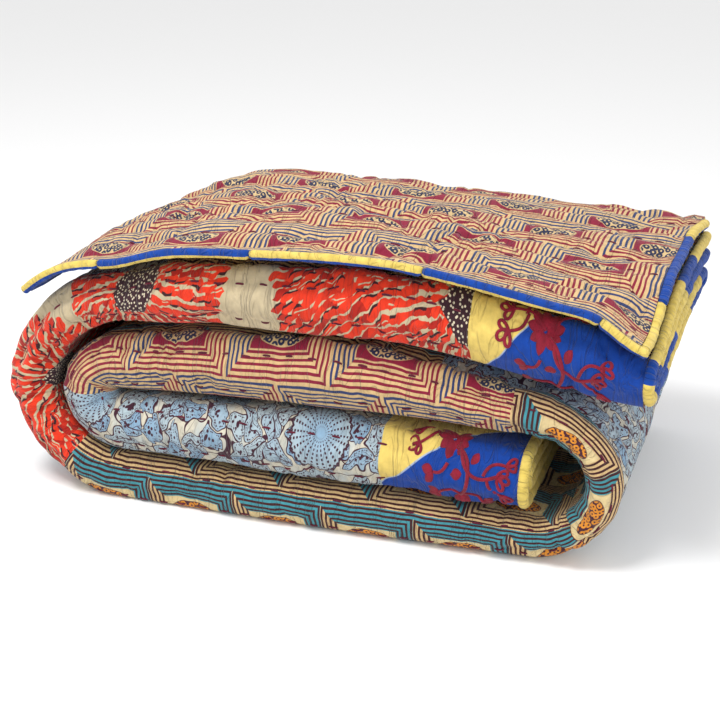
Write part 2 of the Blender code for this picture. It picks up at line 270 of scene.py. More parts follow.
def base_height(x: Array, y: Array) -> Array:
    """How high the pressed underside lies: level in a three-cornered middle, and a hair higher outside it."""
    outside = np.full(np.shape(x), -1.0)
    for start, end in zip(BASE_CORNERS, BASE_CORNERS[1:] + BASE_CORNERS[:1]):
        ahead = np.subtract(end, start) / math.dist(start, end)
        outside = np.maximum(outside, (x - start[0]) * ahead[1] - (y - start[1]) * ahead[0])
    return BASE + BASE_RISE * (outside > BASE_EXACT)


def settle(points: Array) -> Array:
    """Bend the even pack to the way it lies: the base is pressed flat, and the layers above sag and lean.

    Args:
        points: places in the even pack, as an array that ends in (x, y, z).

    Returns:
        The same places in the settled pack.
    """
    x, y, z = points[..., 0], points[..., 1], points[..., 2]
    height = z / HEIGHT_TOP
    sag = RIGHT_SAG.at(x) * (1 - RIGHT_HELD.at(y)) + LEFT_SAG.at(-x) + BACK_SAG.at(y)
    swell = SWELL * np.exp(-((x + 0.02 + 0.3 * y) / SWELL_REACH) ** 2)
    hump = HUMP * np.exp(-((x - HUMP_X) / HUMP_REACH) ** 2) * BACK_HUMP.at(y)
    lean = LEFT_LEAN.at(-x) * LEAN_RISE.at(z) - LEFT_SPREAD.at(-x)
    skew = SKEW.at(x) * (y + BACK) * SKEW_RISE.at(height)
    bow = BOW * np.sin(2 * np.pi * (x - 0.06) / BOW_LENGTH) * BOW_RISE.at(height)
    lift = LIFT.at(height)
    level = np.maximum(z, base_height(x, y))
    dip = DIP * np.exp(-((x - DIP_X) / DIP_REACH) ** 2)
    droop = (CORNER_DROOP.at(x) + dip) * FRONT_SHARE.at(-y) * TOP_RISE.at(z)
    return np.stack([x + lean * lift + skew, y + bow, level + lift * (swell + hump - sag) - droop], -1)


def drift(first: Array, second: Array, seed: int) -> Array:
    """Even, soft noise between -1 and 1: a seeded lattice of numbers, joined by smooth steps.

    Args:
        first: places along the first way, in lattice cells.
        second: places along the second way, in lattice cells.
        seed: which lattice is used.

    Returns:
        The noise at each pair of places.
    """
    lattice = np.random.default_rng(seed).uniform(-1, 1, (256, 256))
    first, second = np.broadcast_arrays(first, second)
    left, below = np.floor(first).astype(int), np.floor(second).astype(int)
    right_share, above_share = smooth(first - left), smooth(second - below)
    corners = [[lattice[(left + i) % 256, (below + j) % 256] for j in (0, 1)] for i in (0, 1)]
    low = corners[0][0] * (1 - right_share) + corners[1][0] * right_share
    high = corners[0][1] * (1 - right_share) + corners[1][1] * right_share
    return low * (1 - above_share) + high * above_share


def puff(along: Array, across: Array, seed: int) -> Array:
    """How far the quilted face stands off its plain surface.

    The rows of stitches draw the cloth in along narrow valleys; gathers run across them, deepest at the
    stitches; and the filling rises and falls slowly.

    Args:
        along: places along the rows of stitches.
        across: places across the rows.
        seed: which soft noise is used.

    Returns:
        The height at each place, above 0 outwards.
    """
    near = np.abs(np.cos(np.pi * across / RIB_PITCH))
    tug = 0.65 + 0.35 * drift(along / 0.021, np.round(across / RIB_PITCH) + 0.5, seed + 3)
    bent = along + 0.012 * drift(along / 0.05, across / 0.030, seed + 4)
    pinch = (1 - np.abs(drift(bent / 0.019, across / 0.050, seed))) ** 4
    small = (1 - np.abs(drift(bent / 0.015, across / 0.028, seed + 5))) ** 3
    there = smooth(0.5 + 0.9 * drift(along / 0.07, across / 0.045, seed + 6))
    gathers = (pinch + 0.5 * small) * there * (0.45 + 0.55 * near ** 2)
    lumps = drift(along / 0.060, across / 0.032, seed + 1)
    return -RIB_RISE * tug * near ** 4 - PUCKER * gathers + LUMP * (lumps - 0.2)


class Folded:
    """The folded strip as a surface: any place on the flat cloth, at any height, in the settled pack."""

    def __init__(self) -> None:
        """Walk the strip and the cut, and find how far the pack is moved to lie in the frame."""
        self.path = Walk(STRIP_PATH, (INNER_END_X, HEIGHT_SECOND), 180.0)
        self.cut = Walk(SECTION, (BACK, OUTER), 180.0)
        self.shift = np.zeros(3)
        self.shift = np.array(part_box("inner_end_binding")[0]) - self._end_ring_box()

    def _end_ring_box(self) -> Array:
        """The lowest corner of the inner end's binding before the pack is moved over the origin."""
        profile = bead_profile(END_BINDING)
        coarse = (18, 8, 5, 4, 2, 4, 2)
        across = np.concatenate([[0.0]] + [low + run.arc * np.arange(1, count + 1) / count for low, run, count
                                           in zip(self.cut.ends, self.cut.runs, coarse)])
        rings = self.end_points(0.0, across, profile, -1.0)
        return rings.reshape(-1, 3).min(axis=0)

    def carry(self, along: Array, y: Array, outward: Array, ahead: Array | float = 0.0) -> Array:
        """Places in the settled pack from places along the strip, back, and outward from its middle.

        Args:
            along: metres along the strip.
            y: metres back, with the strip's front fold even.
            outward: metres from the strip's middle.
            ahead: metres ahead along the strip's heading.

        Returns:
            The points, settled and in the frame.
        """
        return settle(self.even(along, y, outward, ahead)) + self.shift

    def even(self, along: Array, y: Array, outward: Array, ahead: Array | float = 0.0) -> Array:
        """The same as carry, before the pack settles."""
        place, way = self.path.place(along), self.path.ahead(along)
        side = np.stack([-way[..., 1], way[..., 0]], -1)
        loft, front = self.path.blend(along, "loft"), self.path.blend(along, "front")
        flat = place + side * (outward * loft)[..., None] + way * np.asarray(ahead)[..., None]
        shifted = y - front * (BACK - y) / DEPTH
        return np.stack([flat[..., 0], shifted + 0 * flat[..., 0], flat[..., 1]], -1)

    def lift(self, along: Array, across: Array, height: Array) -> Array:
        """Places at a height off the middle of the cloth, printed face up.

        Args:
            along: metres along the strip.
            across: metres across the cloth from its outermost long edge.
            height: metres off the middle of the ply.

        Returns:
            The points in the frame.
        """
        along, across, height = np.broadcast_arrays(along, across, height)
        place, way = self.cut.place(across), self.cut.ahead(across)
        y = place[..., 0] + way[..., 1] * height
        outward = place[..., 1] - way[..., 0] * height
        return self.carry(along, y, outward)

    def end_points(self, along: float, across: Array, profile: Array, sign: float) -> Array:
        """Rings of a binding over a short end, one ring at each place across the cloth."""
        place, way = self.cut.place(across), self.cut.ahead(across)
        right = np.stack([way[:, 1], -way[:, 0]], -1)
        cut = place[:, None] + right[:, None] * profile[None, :, 1:]
        stations = np.full(cut.shape[:2], along)
        return self.carry(stations, cut[..., 0], cut[..., 1], sign * profile[None, :, 0])


def bead_profile(half: float) -> Array:
    """The cut of a solid's binding as (out, across): flat against the cloth's edge and rounded outside."""
    return np.array([(CLEAR, -half), (BINDING * 0.62, -half), (BINDING, -half * 0.35),
                     (BINDING, half * 0.35), (BINDING * 0.62, half), (CLEAR, half)])


def round_profile(half: float, points: int = 15) -> Array:
    """The cut of a binding as sewn: a soft round roll that closes on the cloth's edge, as (out, across)."""
    turn = np.linspace(-0.62 * np.pi, 0.62 * np.pi, points)
    middle = BINDING - half
    roll = np.stack([middle + half * np.cos(turn), half * np.sin(turn)], -1)
    roll[:, 0] = np.maximum(roll[:, 0], CLEAR)
    return np.concatenate([[(CLEAR, -half * 0.8)], roll, [(CLEAR, half * 0.8)]])


class Flap:
    """The quilt's last ply, laid over the top with its backing up, as a surface.

    A place on it is (share, travel): the share of its width from the left, and metres from the fold at the
    back.
    """

    def __init__(self, folded: Folded) -> None:
        """Find where the ply leaves the strip, its length and its width."""
        self.folded = folded
        self.turn = (PLY + PLY_AIR) / 2
        self.fold_length = self.turn * math.pi
        self.length = self.fold_length + BACK - FLAP_FRONT_Y
        counts = [run.steps for run in STRIP_PATH]
        first = sum(counts[:-1]) - round(FLAP_TURN / 180 * counts[-2])
        self.stations = folded.path.steps[first:]
        self.width = FLAP_RIGHT_X - FLAP_LEFT_X

    def middle(self, share: Array, travel: Array) -> Array:
        """Places on the middle of the ply, settled.

        Near the back each line still follows the strip it is folded from. Further forward the lines spread
        evenly between the ply's left and right edge, and drape over the bend at the left.
        """
        share, travel = np.broadcast_arrays(share, travel)
        angle = np.clip(travel / self.turn, 0, np.pi)
        forward = np.clip(travel - self.fold_length, 0, None)
        y = BACK + self.turn * np.sin(angle) - forward
        rise = self.turn * (1 - np.cos(angle))
        station = np.interp(share * (len(self.stations) - 1), np.arange(len(self.stations)), self.stations)
        held = self.folded.even(station, y, OUTER + rise)
        spread = FLAP_LEFT_X + share * self.width
        bend_height = (HEIGHT_TOP + HEIGHT_BOTTOM) / 2
        bend_radius = HEIGHT_TOP + (OUTER + 2 * self.turn) * LOFT_TOP - bend_height
        past = np.clip(LEFT_BEND_X - spread, 0, None)
        height = bend_height + np.sqrt(bend_radius ** 2 - past ** 2)
        height = height + FLAP_WAVE * (1 - np.cos(2 * np.pi * travel / FLAP_WAVE_LENGTH))
        draped = np.stack([spread, y, height], -1)
        freed = smooth(forward / FLAP_FREE)[..., None]
        return settle(held * (1 - freed) + draped * freed) + self.folded.shift

    def normals(self, share: Array, travel: Array) -> list[Array]:
        """Unit ways at places on the ply: up off its backing, to the right, and forward."""
        step = 0.002
        right = self.middle(share + step, travel) - self.middle(share - step, travel)
        forward = self.middle(share, travel + step) - self.middle(share, travel - step)
        up = -np.cross(right, forward)
        return [way / np.linalg.norm(way, axis=-1, keepdims=True) for way in (up, right, forward)]

    def lift(self, share: Array, travel: Array, height: Array) -> Array:
        """Places at a height above the middle of the ply."""
        share, travel, height = np.broadcast_arrays(share, travel, height)
        return self.middle(share, travel) + self.normals(share, travel)[0] * height[..., None]


def linear(colour: str) -> tuple[float, float, float, float]:
    """An sRGB hex colour as linear red, green, blue and alpha."""
    values = [int(colour[i:i + 2], 16) / 255 for i in (1, 3, 5)]
    return tuple(v / 12.92 if v <= 0.04045 else ((v + 0.055) / 1.055) ** 2.4 for v in values) + (1.0,)


class Print(Enum):
    """The cloths that the quilt is pieced from."""
    STRIPE_MAROON = "maroon_stripe"
    STRIPE_TEAL = "teal_stripe"
    STRIPE_BEND = "teal_stripe_on_the_bend"
    BLOOM = "bloom"
    LEAF = "leaf"
    HALVES = "halves"
    YELLOW = "yellow"
    BLUE = "blue"


@dataclass(frozen=True)
class Patch:
    """One piece of the patchwork: its cloth and where it lies on the flat quilt, in metres."""
    cloth: Print
    along: tuple[float, float]
    across: tuple[float, float]


@dataclass(frozen=True)
class Cotton:
    """The finish of a plain-woven cotton, washed soft.

    Args:
        name: what the cloth is, which names the material.
        roughness: matt, with a faint soft shine.
        sheen: the bright nap at glancing angles.
        weave_mm: thread spacing as drawn; the real threads are about 0.5 mm apart, too fine to show.
        crease: how strong the small creases are.
        depth: the brightness of the dye where it is least worn.
    """
    name: str
    roughness: float = 0.86
    sheen: float = 0.12
    weave_mm: float = 1.3
    crease: float = 0.6
    depth: float = 0.56


class Value:
    """An output inside a material's nodes. Sums, products and comparisons of values add maths nodes."""

    def __init__(self, recipe: "Recipe", socket: bpy.types.NodeSocket) -> None:
        """Keep the material's nodes and the output."""
        self.recipe, self.socket = recipe, socket

    def maths(self, operation: str, *others: Any) -> "Value":
        """The result of one maths node on this value and others."""
        return self.recipe.add("ShaderNodeMath", self, *others, operation=operation)

    def __rsub__(self, other: float) -> "Value":
        """A number less this value."""
        return self.recipe.add("ShaderNodeMath", other, self, operation="SUBTRACT")

    __add__ = __radd__ = partialmethod(maths, "ADD")
    __sub__ = partialmethod(maths, "SUBTRACT")
    __mul__ = __rmul__ = partialmethod(maths, "MULTIPLY")
    __truediv__ = partialmethod(maths, "DIVIDE")
    __pow__ = partialmethod(maths, "POWER")
    __gt__ = partialmethod(maths, "GREATER_THAN")
    __lt__ = partialmethod(maths, "LESS_THAN")
    __abs__ = partialmethod(maths, "ABSOLUTE")
    floor = partialmethod(maths, "FLOOR")
    fract = partialmethod(maths, "FRACT")
    most = partialmethod(maths, "MAXIMUM")
    least = partialmethod(maths, "MINIMUM")

    def between(self, low: float, high: float) -> "Value":
        """0 up to low, 1 from high on, and a straight rise between; falls where high is the smaller."""
        return self.recipe.add("ShaderNodeMapRange", self, low, high, 0.0, 1.0)

    def near(self, middle: float, outer: float, inner: float) -> "Value":
        """1 where this is within the inner distance of a middle, and 0 beyond the outer one."""
        return abs(self - middle).between(outer, inner)

    def mix(self, first: Any, second: Any) -> "Value":
        """One colour where this is 0 and another where it is 1; a colour is a hex word or a value."""
        colours = [linear(part) if isinstance(part, str) else part for part in (first, second)]
        return self.recipe.add("ShaderNodeMix", named={0: self, 6: colours[0], 7: colours[1]}, out=2,
                               data_type="RGBA")


class Recipe:
    """The nodes of one material, put together step by step."""

    def __init__(self, name: str) -> None:
        """Start with a plain shader, and the place on the flat cloth in metres: along and across."""
        self.material = bpy.data.materials.new(name)
        self.material.use_nodes = True
        self.tree = self.material.node_tree
        self.shader = self.tree.nodes["Principled BSDF"]
        self.along, self.across, _ = self.split(self.add("ShaderNodeUVMap", uv_map="cloth"))
        self.place = self.joined(self.along, self.across)

    def link(self, value: Any, socket: bpy.types.NodeSocket) -> None:
        """Put a number or a value into an input."""
        if isinstance(value, Value):
            self.tree.links.new(value.socket, socket)
        else:
            socket.default_value = value

    def add(self, kind: str, *inputs: Any, out: int | str = 0, named: dict | None = None,
            **settings: Any) -> Value:
        """Add one node and return one of its outputs.

        Args:
            kind: the node's type.
            inputs: numbers or values for its inputs, in order.
            out: which output is returned.
            named: numbers or values for inputs by name or number.
            settings: properties of the node.

        Returns:
            The output.
        """
        node = self.tree.nodes.new(kind)
        for key, value in settings.items():
            setattr(node, key, value)
        for key, value in list(enumerate(inputs)) + list((named or {}).items()):
            self.link(value, node.inputs[key])
        return Value(self, node.outputs[out])

    def split(self, vector: Value) -> list[Value]:
        """The three numbers of a vector or colour."""
        first = self.add("ShaderNodeSeparateXYZ", vector)
        return [Value(self, output) for output in first.socket.node.outputs]

    def joined(self, x: Any, y: Any) -> Value:
        """A flat vector from two numbers."""
        return self.add("ShaderNodeCombineXYZ", x, y)

    def vector(self, operation: str, *inputs: Any, out: int | str = 0) -> Value:
        """The result of one maths node on vectors."""
        return self.add("ShaderNodeVectorMath", *inputs, out=out, operation=operation)

    def polar(self, u: Value, v: Value) -> tuple[Value, Value]:
        """How far a place lies from the origin, and its way from there in turns."""
        return (u * u + v * v).maths("SQRT"), v.maths("ARCTAN2", u) / (2 * math.pi)

    def lattice(self, column: Value, row: Value, middle: float) -> tuple[Value, Value]:
        """How far a place lies from the middle of its cell, in cells; odd rows are shifted by half a cell."""
        odd = abs(row.floor()).maths("MODULO", 2.0)
        return (column + odd * 0.5).fract() - middle, row.fract() - 0.5

    def cells(self, place: Value, scale: float, feature: str = "F1", out: str = "Distance",
              spread: float = 1.0) -> Value:
        """Irregular cells about scattered points, of which one measure is returned."""
        return self.add("ShaderNodeTexVoronoi", place, named={"Scale": scale, "Randomness": spread}, out=out,
                        feature=feature, voronoi_dimensions="2D")

    def cloud(self, place: Value, scale: float, detail: float = 1.0, distortion: float = 0.0,
              out: int | str = 0) -> Value:
        """Soft noise about 0.5."""
        return self.add("ShaderNodeTexNoise", place, out=out, noise_dimensions="2D",
                        named={"Scale": scale, "Detail": detail, "Distortion": distortion})


@dataclass(frozen=True)
class StripePrint:
    """Wax-printed cotton: nested stripes about a lattice of blocks, each with an oval of small rings.

    Args:
        grounds: colour between the stripes, on the first side of each block and on the second.
        lines: colour of the stripes, on the same two sides.
        filling: colour of the blocks.
        oval: colour of the ovals.
        rings: colour of the small rings.
        lean: 1 where the first side is ahead of a block along the cloth, -1 where it is behind it.
        width: one repeat along the cloth.
        height: one repeat across it.
        block: half the block's size.
        pitch: from one stripe to the next.
        offset: how far the lattice is moved along and across.
        ink: the stripes' share of the pitch.
    """
    grounds: tuple[str, str]
    lines: tuple[str, str]
    filling: str
    oval: str
    rings: str
    lean: float = 1.0
    width: float = 0.094
    height: float = 0.074
    block: tuple[float, float] = (0.029, 0.0135)
    pitch: float = 0.0047
    offset: tuple[float, float] = (0.0, 0.0)
    ink: float = 0.48

    def paint(self, r: Recipe) -> Value:
        """Build the print and return its colour.

        The distance from the nearest block is measured square, so that every ring of equal distance is a
        rectangle, and its stripes meet on a mitre.
        """
        shaken = r.cloud(r.place, 40.0) * 0.0030 - 0.0015
        along, across = [way + shaken + moved for way, moved in zip((r.along, r.across), self.offset)]
        u, v = r.lattice(along / self.width, across / self.height, 0.5)
        u, v = u * self.width, v * self.height
        beside, above = abs(u) - self.block[0], abs(v) - self.block[1]
        far = beside.most(above)
        upright = above > beside
        side = upright * (v > 0.0) + (1.0 - upright) * (u * self.lean > 0.0)
        edge = 0.5 - self.ink / 2
        dark = (far / self.pitch).fract().maths("PINGPONG", 0.5).between(edge - 0.03, edge + 0.03)
        first, second = [dark.mix(ground, line) for ground, line in zip(self.grounds, self.lines)]
        oval = (abs(u) / (self.block[0] * 0.80)) ** 2.0 + (abs(v) / (self.block[1] * 0.84)) ** 2.0
        ring = r.cells(r.joined(u, v), 158.0, spread=0.8)
        drawn = ring.near(0.33, 0.19, 0.14) * oval.between(0.94, 0.86)
        middle = oval.between(1.04, 0.96).mix(self.filling, drawn.mix(self.oval, self.rings))
        return far.between(-0.0003, 0.0003).mix(middle, side.mix(second, first))


@dataclass(frozen=True)
class BloomPrint:
    """Printed cotton with large shaggy blooms: dark seeded hearts and rings of small flame-like petals.

    Args:
        ground, petal, shade, stroke, heart, seed: the colours of the print.
        spacing: from one bloom to the next along the cloth.
        rows: from one row of blooms to the next across it.
        first: where the first heart lies, along and across.
        loner: where a bloom out of line lies, along and across.
        loner_zone: from where to where along the cloth it takes the others' place.
        reach: how far the petals reach behind a heart, and ahead of it.
        ring: from one ring of petals to the next.
        petal_width: the width of one petal.
        swirl: how far the petals lean from the straight way out, in turns for each ring.
        wobble: how far the drawing wanders, as one drawn by hand does.
    """
    ground: str = "#D2C09C"
    petal: str = "#F23A1A"
    shade: str = "#B51F10"
    stroke: str = "#3A161C"
    heart: str = "#3B1D27"
    seed: str = "#E6D8BC"
    spacing: float = 0.335
    rows: float = 0.230
    first: tuple[float, float] = (1.949, 0.350)
    loner: tuple[float, float] = (1.765, 0.415)
    loner_zone: tuple[float, float] = (1.60, 1.872)
    reach: tuple[float, float] = (0.186, 0.100)
    ring: float = 0.0102
    petal_width: float = 0.0090
    swirl: float = 0.0042
    wobble: float = 0.011

    def petals(self, r: Recipe, number: Value, away: Value, turn: Value, limit: Value, below: Any) -> Value:
        """Draw one ring of petals over a colour.

        A petal is 0 wide at its tip, widens quickly and narrows again towards the heart. White noise gives
        each its own length, tone and strokes.

        Args:
            r: the material's nodes.
            number: which ring, counted from the heart.
            away: the distance from the heart, in rings.
            turn: the way from the heart, as a share of a full turn.
            limit: the number of rings here.
            below: the colour under the petals.

        Returns:
            The colour with the petals on it.
        """
        spot = turn * (number * (2 * math.pi * self.ring / self.petal_width)).floor()
        which = spot.floor()
        dice = r.add("ShaderNodeTexWhiteNoise", r.joined(which, number), noise_dimensions="2D")
        beside = spot - which - 0.5
        inside = (number + 1.1 - dice * 0.8 - away).most(0.0)
        fullest = (number * 0.018 + 0.33).least(0.50)
        wide = (inside ** 0.8 * 0.85).least(fullest - inside * 0.08)
        tone = dice.between(0.55, 0.85).mix(self.petal, self.shade)
        body = inside.between(1.0, 2.6).mix(tone, self.shade)
        long_way = inside.near(0.85, 0.65, 0.50)
        stroked = (wide - beside).near(0.10, 0.16, 0.12) * long_way * ((dice * 7.3).fract() > 0.52)
        slit = beside.near(-0.12, 0.07, 0.04) * long_way * ((dice * 3.1).fract() > 0.80)
        inked = stroked.mix(slit.mix(body, self.ground), self.stroke)
        return ((wide - abs(beside)).between(0.0, 0.05) * (number < limit)).mix(below, inked)

    def paint(self, r: Recipe) -> Value:
        """Build the print and return its colour.

        Every place can be covered by the petals of two rings: the one that starts below it, and over that
        the one whose tips end there.
        """
        sway = r.split(r.cloud(r.place, 45.0, 2.0, out="Color"))
        along, across = [way + (part - 0.5) * self.wobble for way, part in zip((r.along, r.across), sway)]
        column = (along - self.first[0]) / self.spacing + 0.6
        row = (across - self.first[1]) / self.rows + 0.5
        even_u, even_v = r.lattice(column, row, 0.6)
        alone = (r.along > self.loner_zone[0]) * (r.along < self.loner_zone[1])
        spot = r.add("ShaderNodeMix", out=1, data_type="VECTOR", named={
            0: alone, 4: r.joined(even_u * self.spacing, even_v * self.rows),
            5: r.joined(along - self.loner[0], across - self.loner[1])})
        u, v, _ = r.split(spot)
        metres, turns = r.polar(u, v)
        away = metres / self.ring
        turn = (turns + 0.5 + away * self.swirl).fract()
        behind, ahead = [reach / self.ring for reach in self.reach]
        limit = u.between(0.030, -0.030) * (behind - ahead) + ahead
        number = away.floor()
        colour = self.petals(r, number + 1.0, away, turn, limit, linear(self.ground))
        colour = self.petals(r, number, away, turn, limit, colour)
        heart = r.cells(r.place, 260.0, spread=0.9).between(0.28, 0.20).mix(self.heart, self.seed)
        return (sway[2] * 0.012 + metres).between(0.0325, 0.0310).mix(colour, heart)


@dataclass(frozen=True)
class LeafPrint:
    """Printed cotton with outlined leaves, round flowers and scalloped fans in washed blues, dotted inside.

    Args:
        ground, pale, blue, ink: the colours of the print.
        size: from one leaf or flower to the next.
        leaf: half the length and half the width of a leaf.
        flower: the radius of a flower.
        sway: how far the drawing wanders, as one drawn by hand does.
        fan_spacing: from one fan to the next along the cloth.
        fan_start: where the first fan lies along it.
        fan_level: where the fans lie across it.
        fan_radius: the radius of a fan.
    """
    ground: str = "#D9D2BE"
    pale: str = "#B4C6CE"
    blue: str = "#8DB0CC"
    ink: str = "#431C2E"
    size: float = 0.021
    leaf: tuple[float, float] = (0.0190, 0.0088)
    flower: float = 0.0105
    sway: float = 0.018
    fan_spacing: float = 0.265
    fan_start: float = 0.196
    fan_level: float = 0.385
    fan_radius: float = 0.0325

    def fans(self, r: Recipe, below: Value) -> Value:
        """Draw the fans over a colour: discs with dotted spokes and a scalloped rim."""
        column = (r.along - self.fan_start) / self.fan_spacing + 0.5
        away, turns = r.polar((column.fract() - 0.5) * self.fan_spacing, r.across - self.fan_level)
        spoke = (turns * 24.0).maths("PINGPONG", 0.5)
        beads = (away / 0.0031).maths("PINGPONG", 0.5)
        edge = spoke * 0.006 + away
        dotted = spoke.between(0.20, 0.14) * beads.between(0.18, 0.26) * away.between(0.004, 0.006)
        ink = dotted.most(edge.near(self.fan_radius - 0.001, 0.0012, 0.0008))
        fan = ink.mix(away.between(0.0, 0.030).mix(self.blue, self.pale), self.ink)
        return edge.between(self.fan_radius, self.fan_radius - 0.0005).mix(below, fan)

    def paint(self, r: Recipe) -> Value:
        """Build the print and return its colour.

        Each of many scattered points carries a leaf, turned its own way, or a flower. A line follows the
        outline, a row of dots lies inside it, and thin tendrils wander between.
        """
        pushed = r.vector("MULTIPLY_ADD", r.cloud(r.place, 55.0, out="Color"), (self.sway,) * 2 + (0.0,),
                          (-self.sway / 2,) * 2 + (0.0,))
        spot = r.vector("ADD", r.place, pushed)
        border, dice, middle = [r.cells(spot, 1 / self.size, feature, out, 0.85) for feature, out in (
            ("DISTANCE_TO_EDGE", "Distance"), ("F1", "Color"), ("F1", "Position"))]
        turned_dice, tone_dice, kind_dice = r.split(dice)
        from_middle = r.vector("SUBTRACT", spot, middle)
        leaf_way = r.add("ShaderNodeVectorRotate", from_middle, named={"Angle": turned_dice * 6.3},
                         rotation_type="Z_AXIS")
        x, y = [part / size for part, size in zip(r.split(leaf_way), self.leaf)]
        lens = 1.0 - x * x - abs(y)
        metres = r.vector("LENGTH", from_middle, out="Value")
        disc = 1.0 - metres / self.flower + (y.maths("ARCTAN2", x) * 6.0).maths("COSINE") * 0.16
        bloom = kind_dice > 0.66
        leaf_or_flower = r.add("ShaderNodeMix", named={0: bloom, 2: lens, 3: disc}, data_type="FLOAT")
        rim = leaf_or_flower.least(border * 3.0)
        body = tone_dice.between(0.35, 0.75).mix(self.pale, self.blue)
        colour = rim.between(0.0, 0.04).mix(self.ground, body)
        washed = (r.cloud(r.place, 60.0, 2.0).between(0.40, 0.75) * 0.6).mix(colour, self.pale)
        dots = rim.near(0.27, 0.075, 0.050) * r.cells(r.place, 430.0, spread=0.35).between(0.42, 0.34)
        veins = ((abs(y) * 0.7 + x) * 3.4).maths("PINGPONG", 0.5)
        veined = veins.between(0.09, 0.05) * lens.between(0.40, 0.50)
        rib = abs(y).between(0.075, 0.045).most(veined) * (lens > 0.25) * (1.0 - bloom)
        tendril = r.cloud(r.place, 34.0).near(0.5, 0.020, 0.014) * (rim < 0.0)
        flecks = r.cells(r.place, 170.0).between(0.24, 0.19) * rim.between(0.35, 0.45)
        drawn = abs(rim).between(0.080, 0.055)
        for mark in (dots, rib, metres.between(0.0022, 0.0017) * bloom, tendril, flecks):
            drawn = drawn.most(mark)
        return self.fans(r, drawn.mix(washed, self.ink))


class Diagonal(NamedTuple):
    """A slanting seam between yellow and blue.

    Args:
        start: a place on it along the cloth, and across it.
        slope: how fast it runs across the cloth.
        blue: 1 where the blue lies on the side nearer the outermost long edge, -1 where it lies beyond.
        until: the patch ends here along the cloth.
    """
    start: tuple[float, float]
    slope: float
    blue: float
    until: float


@dataclass(frozen=True)
class HalvesPrint:
    """Plain cotton, yellow and blue, pieced along slanting seams that show a line of turned cloth."""
    seams: tuple[Diagonal, ...]
    yellow: str = "#F0D270"
    blue: str = "#0040A0"
    turned: str = "#A9B9D2"

    def paint(self, r: Recipe) -> Value:
        """Build the two halves of each patch and return their colour."""
        colour = linear(self.yellow)
        for seam in self.seams:
            past = ((r.along - seam.start[0]) * seam.slope - (r.across - seam.start[1])) * seam.blue
            half = past.between(-0.0003, 0.0003).mix(self.yellow, self.blue)
            half = abs(past).between(0.0011, 0.0005).mix(half, self.turned)
            colour = (r.along > seam.until).mix(half, colour)
        return colour


@dataclass(frozen=True)
class PlainPrint:
    """Plain-dyed cotton of one colour, a little uneven from washing."""
    colour: str
    faded: str

    def paint(self, r: Recipe) -> Value:
        """Build the dye and return its colour."""
        return r.cloud(r.place, 90.0, 3.0).between(0.35, 0.75).mix(self.colour, self.faded)


def dress(printed: Any, cotton: Cotton) -> bpy.types.Material:
    """Make a cotton: its print, a little wear in its colour, threads and small creases in its surface.

    Args:
        printed: the print, which paints the colour.
        cotton: how the cloth is finished.

    Returns:
        The material.
    """
    r = Recipe(cotton.name)
    shade = r.add("ShaderNodeHueSaturation", named={
        "Color": printed.paint(r), "Value": r.cloud(r.place, 140.0, 3.0) * 0.34 + cotton.depth})
    turns = 2 * math.pi * 1000.0 / cotton.weave_mm
    weave = (r.along * turns).maths("SINE") * (r.across * turns).maths("SINE") * 0.00007
    slub = r.cloud(r.joined(r.along * 0.35, r.across), 700.0, 2.0) * 0.00012
    soft = r.cloud(r.joined(r.along * 2.6, r.across), 70.0, 3.0, 0.6) * (0.0016 * cotton.crease)
    lines = r.cloud(r.joined(r.along * 3.2, r.across), 24.0, 2.0, 0.9)
    sharp = r.add("ShaderNodeMapRange", abs(lines - 0.5), 0.0, 0.095, 0.0, 1.0,
                  interpolation_type="SMOOTHSTEP")
    relief = sharp * (0.0020 * cotton.crease) + (soft + (weave + slub))
    bump = r.add("ShaderNodeBump", named={"Strength": 1.0, "Distance": 1.0, "Height": relief})
    for key, value in (("Base Color", shade), ("Normal", bump), ("Roughness", cotton.roughness),
                       ("Sheen Weight", cotton.sheen), ("Sheen Roughness", 0.5),
                       ("Specular IOR Level", 0.25)):
        r.link(value, r.shader.inputs[key])
    return r.material


def mesh_piece(name: str, points: Array, faces: Array, flat: Array, cloths: list[bpy.types.Material],
               choice: Array | None = None) -> bpy.types.Object:
    """A piece from its points, its four-sided faces and the flat cloth's place of each point.

    Args:
        name: the piece's name.
        points: an array of places.
        faces: an array of four point numbers for each face.
        flat: the place of each point on the flat cloth, which the prints read.
        cloths: the materials.
        choice: which material each face has, or None for the first.

    Returns:
        The object.
    """
    points = np.concatenate([points[:, :2], np.maximum(points[:, 2:], 0.0)], 1)
    mesh = bpy.data.meshes.new(name)
    mesh.vertices.add(len(points))
    mesh.vertices.foreach_set("co", points.astype(np.float32).ravel())
    mesh.loops.add(faces.size)
    mesh.loops.foreach_set("vertex_index", faces.astype(np.int32).ravel())
    mesh.polygons.add(len(faces))
    mesh.polygons.foreach_set("loop_start", np.arange(0, faces.size, faces.shape[1], dtype=np.int32))
    for cloth in cloths:
        mesh.materials.append(cloth)
    if choice is not None:
        mesh.polygons.foreach_set("material_index", choice.astype(np.int32))
    mesh.update(calc_edges=True)
    layer = mesh.uv_layers.new(name="cloth")
    layer.data.foreach_set("uv", flat[faces.ravel()].astype(np.float32).ravel())
    mesh.shade_smooth()
    piece = bpy.data.objects.new(name, mesh)
    bpy.context.scene.collection.objects.link(piece)
    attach(piece, "root")
    return piece


def grid_faces(number: Array) -> Array:
    """The four-sided faces of a grid of point numbers."""
    return np.stack([number[:-1, :-1], number[:-1, 1:], number[1:, 1:], number[1:, :-1]], -1).reshape(-1, 4)


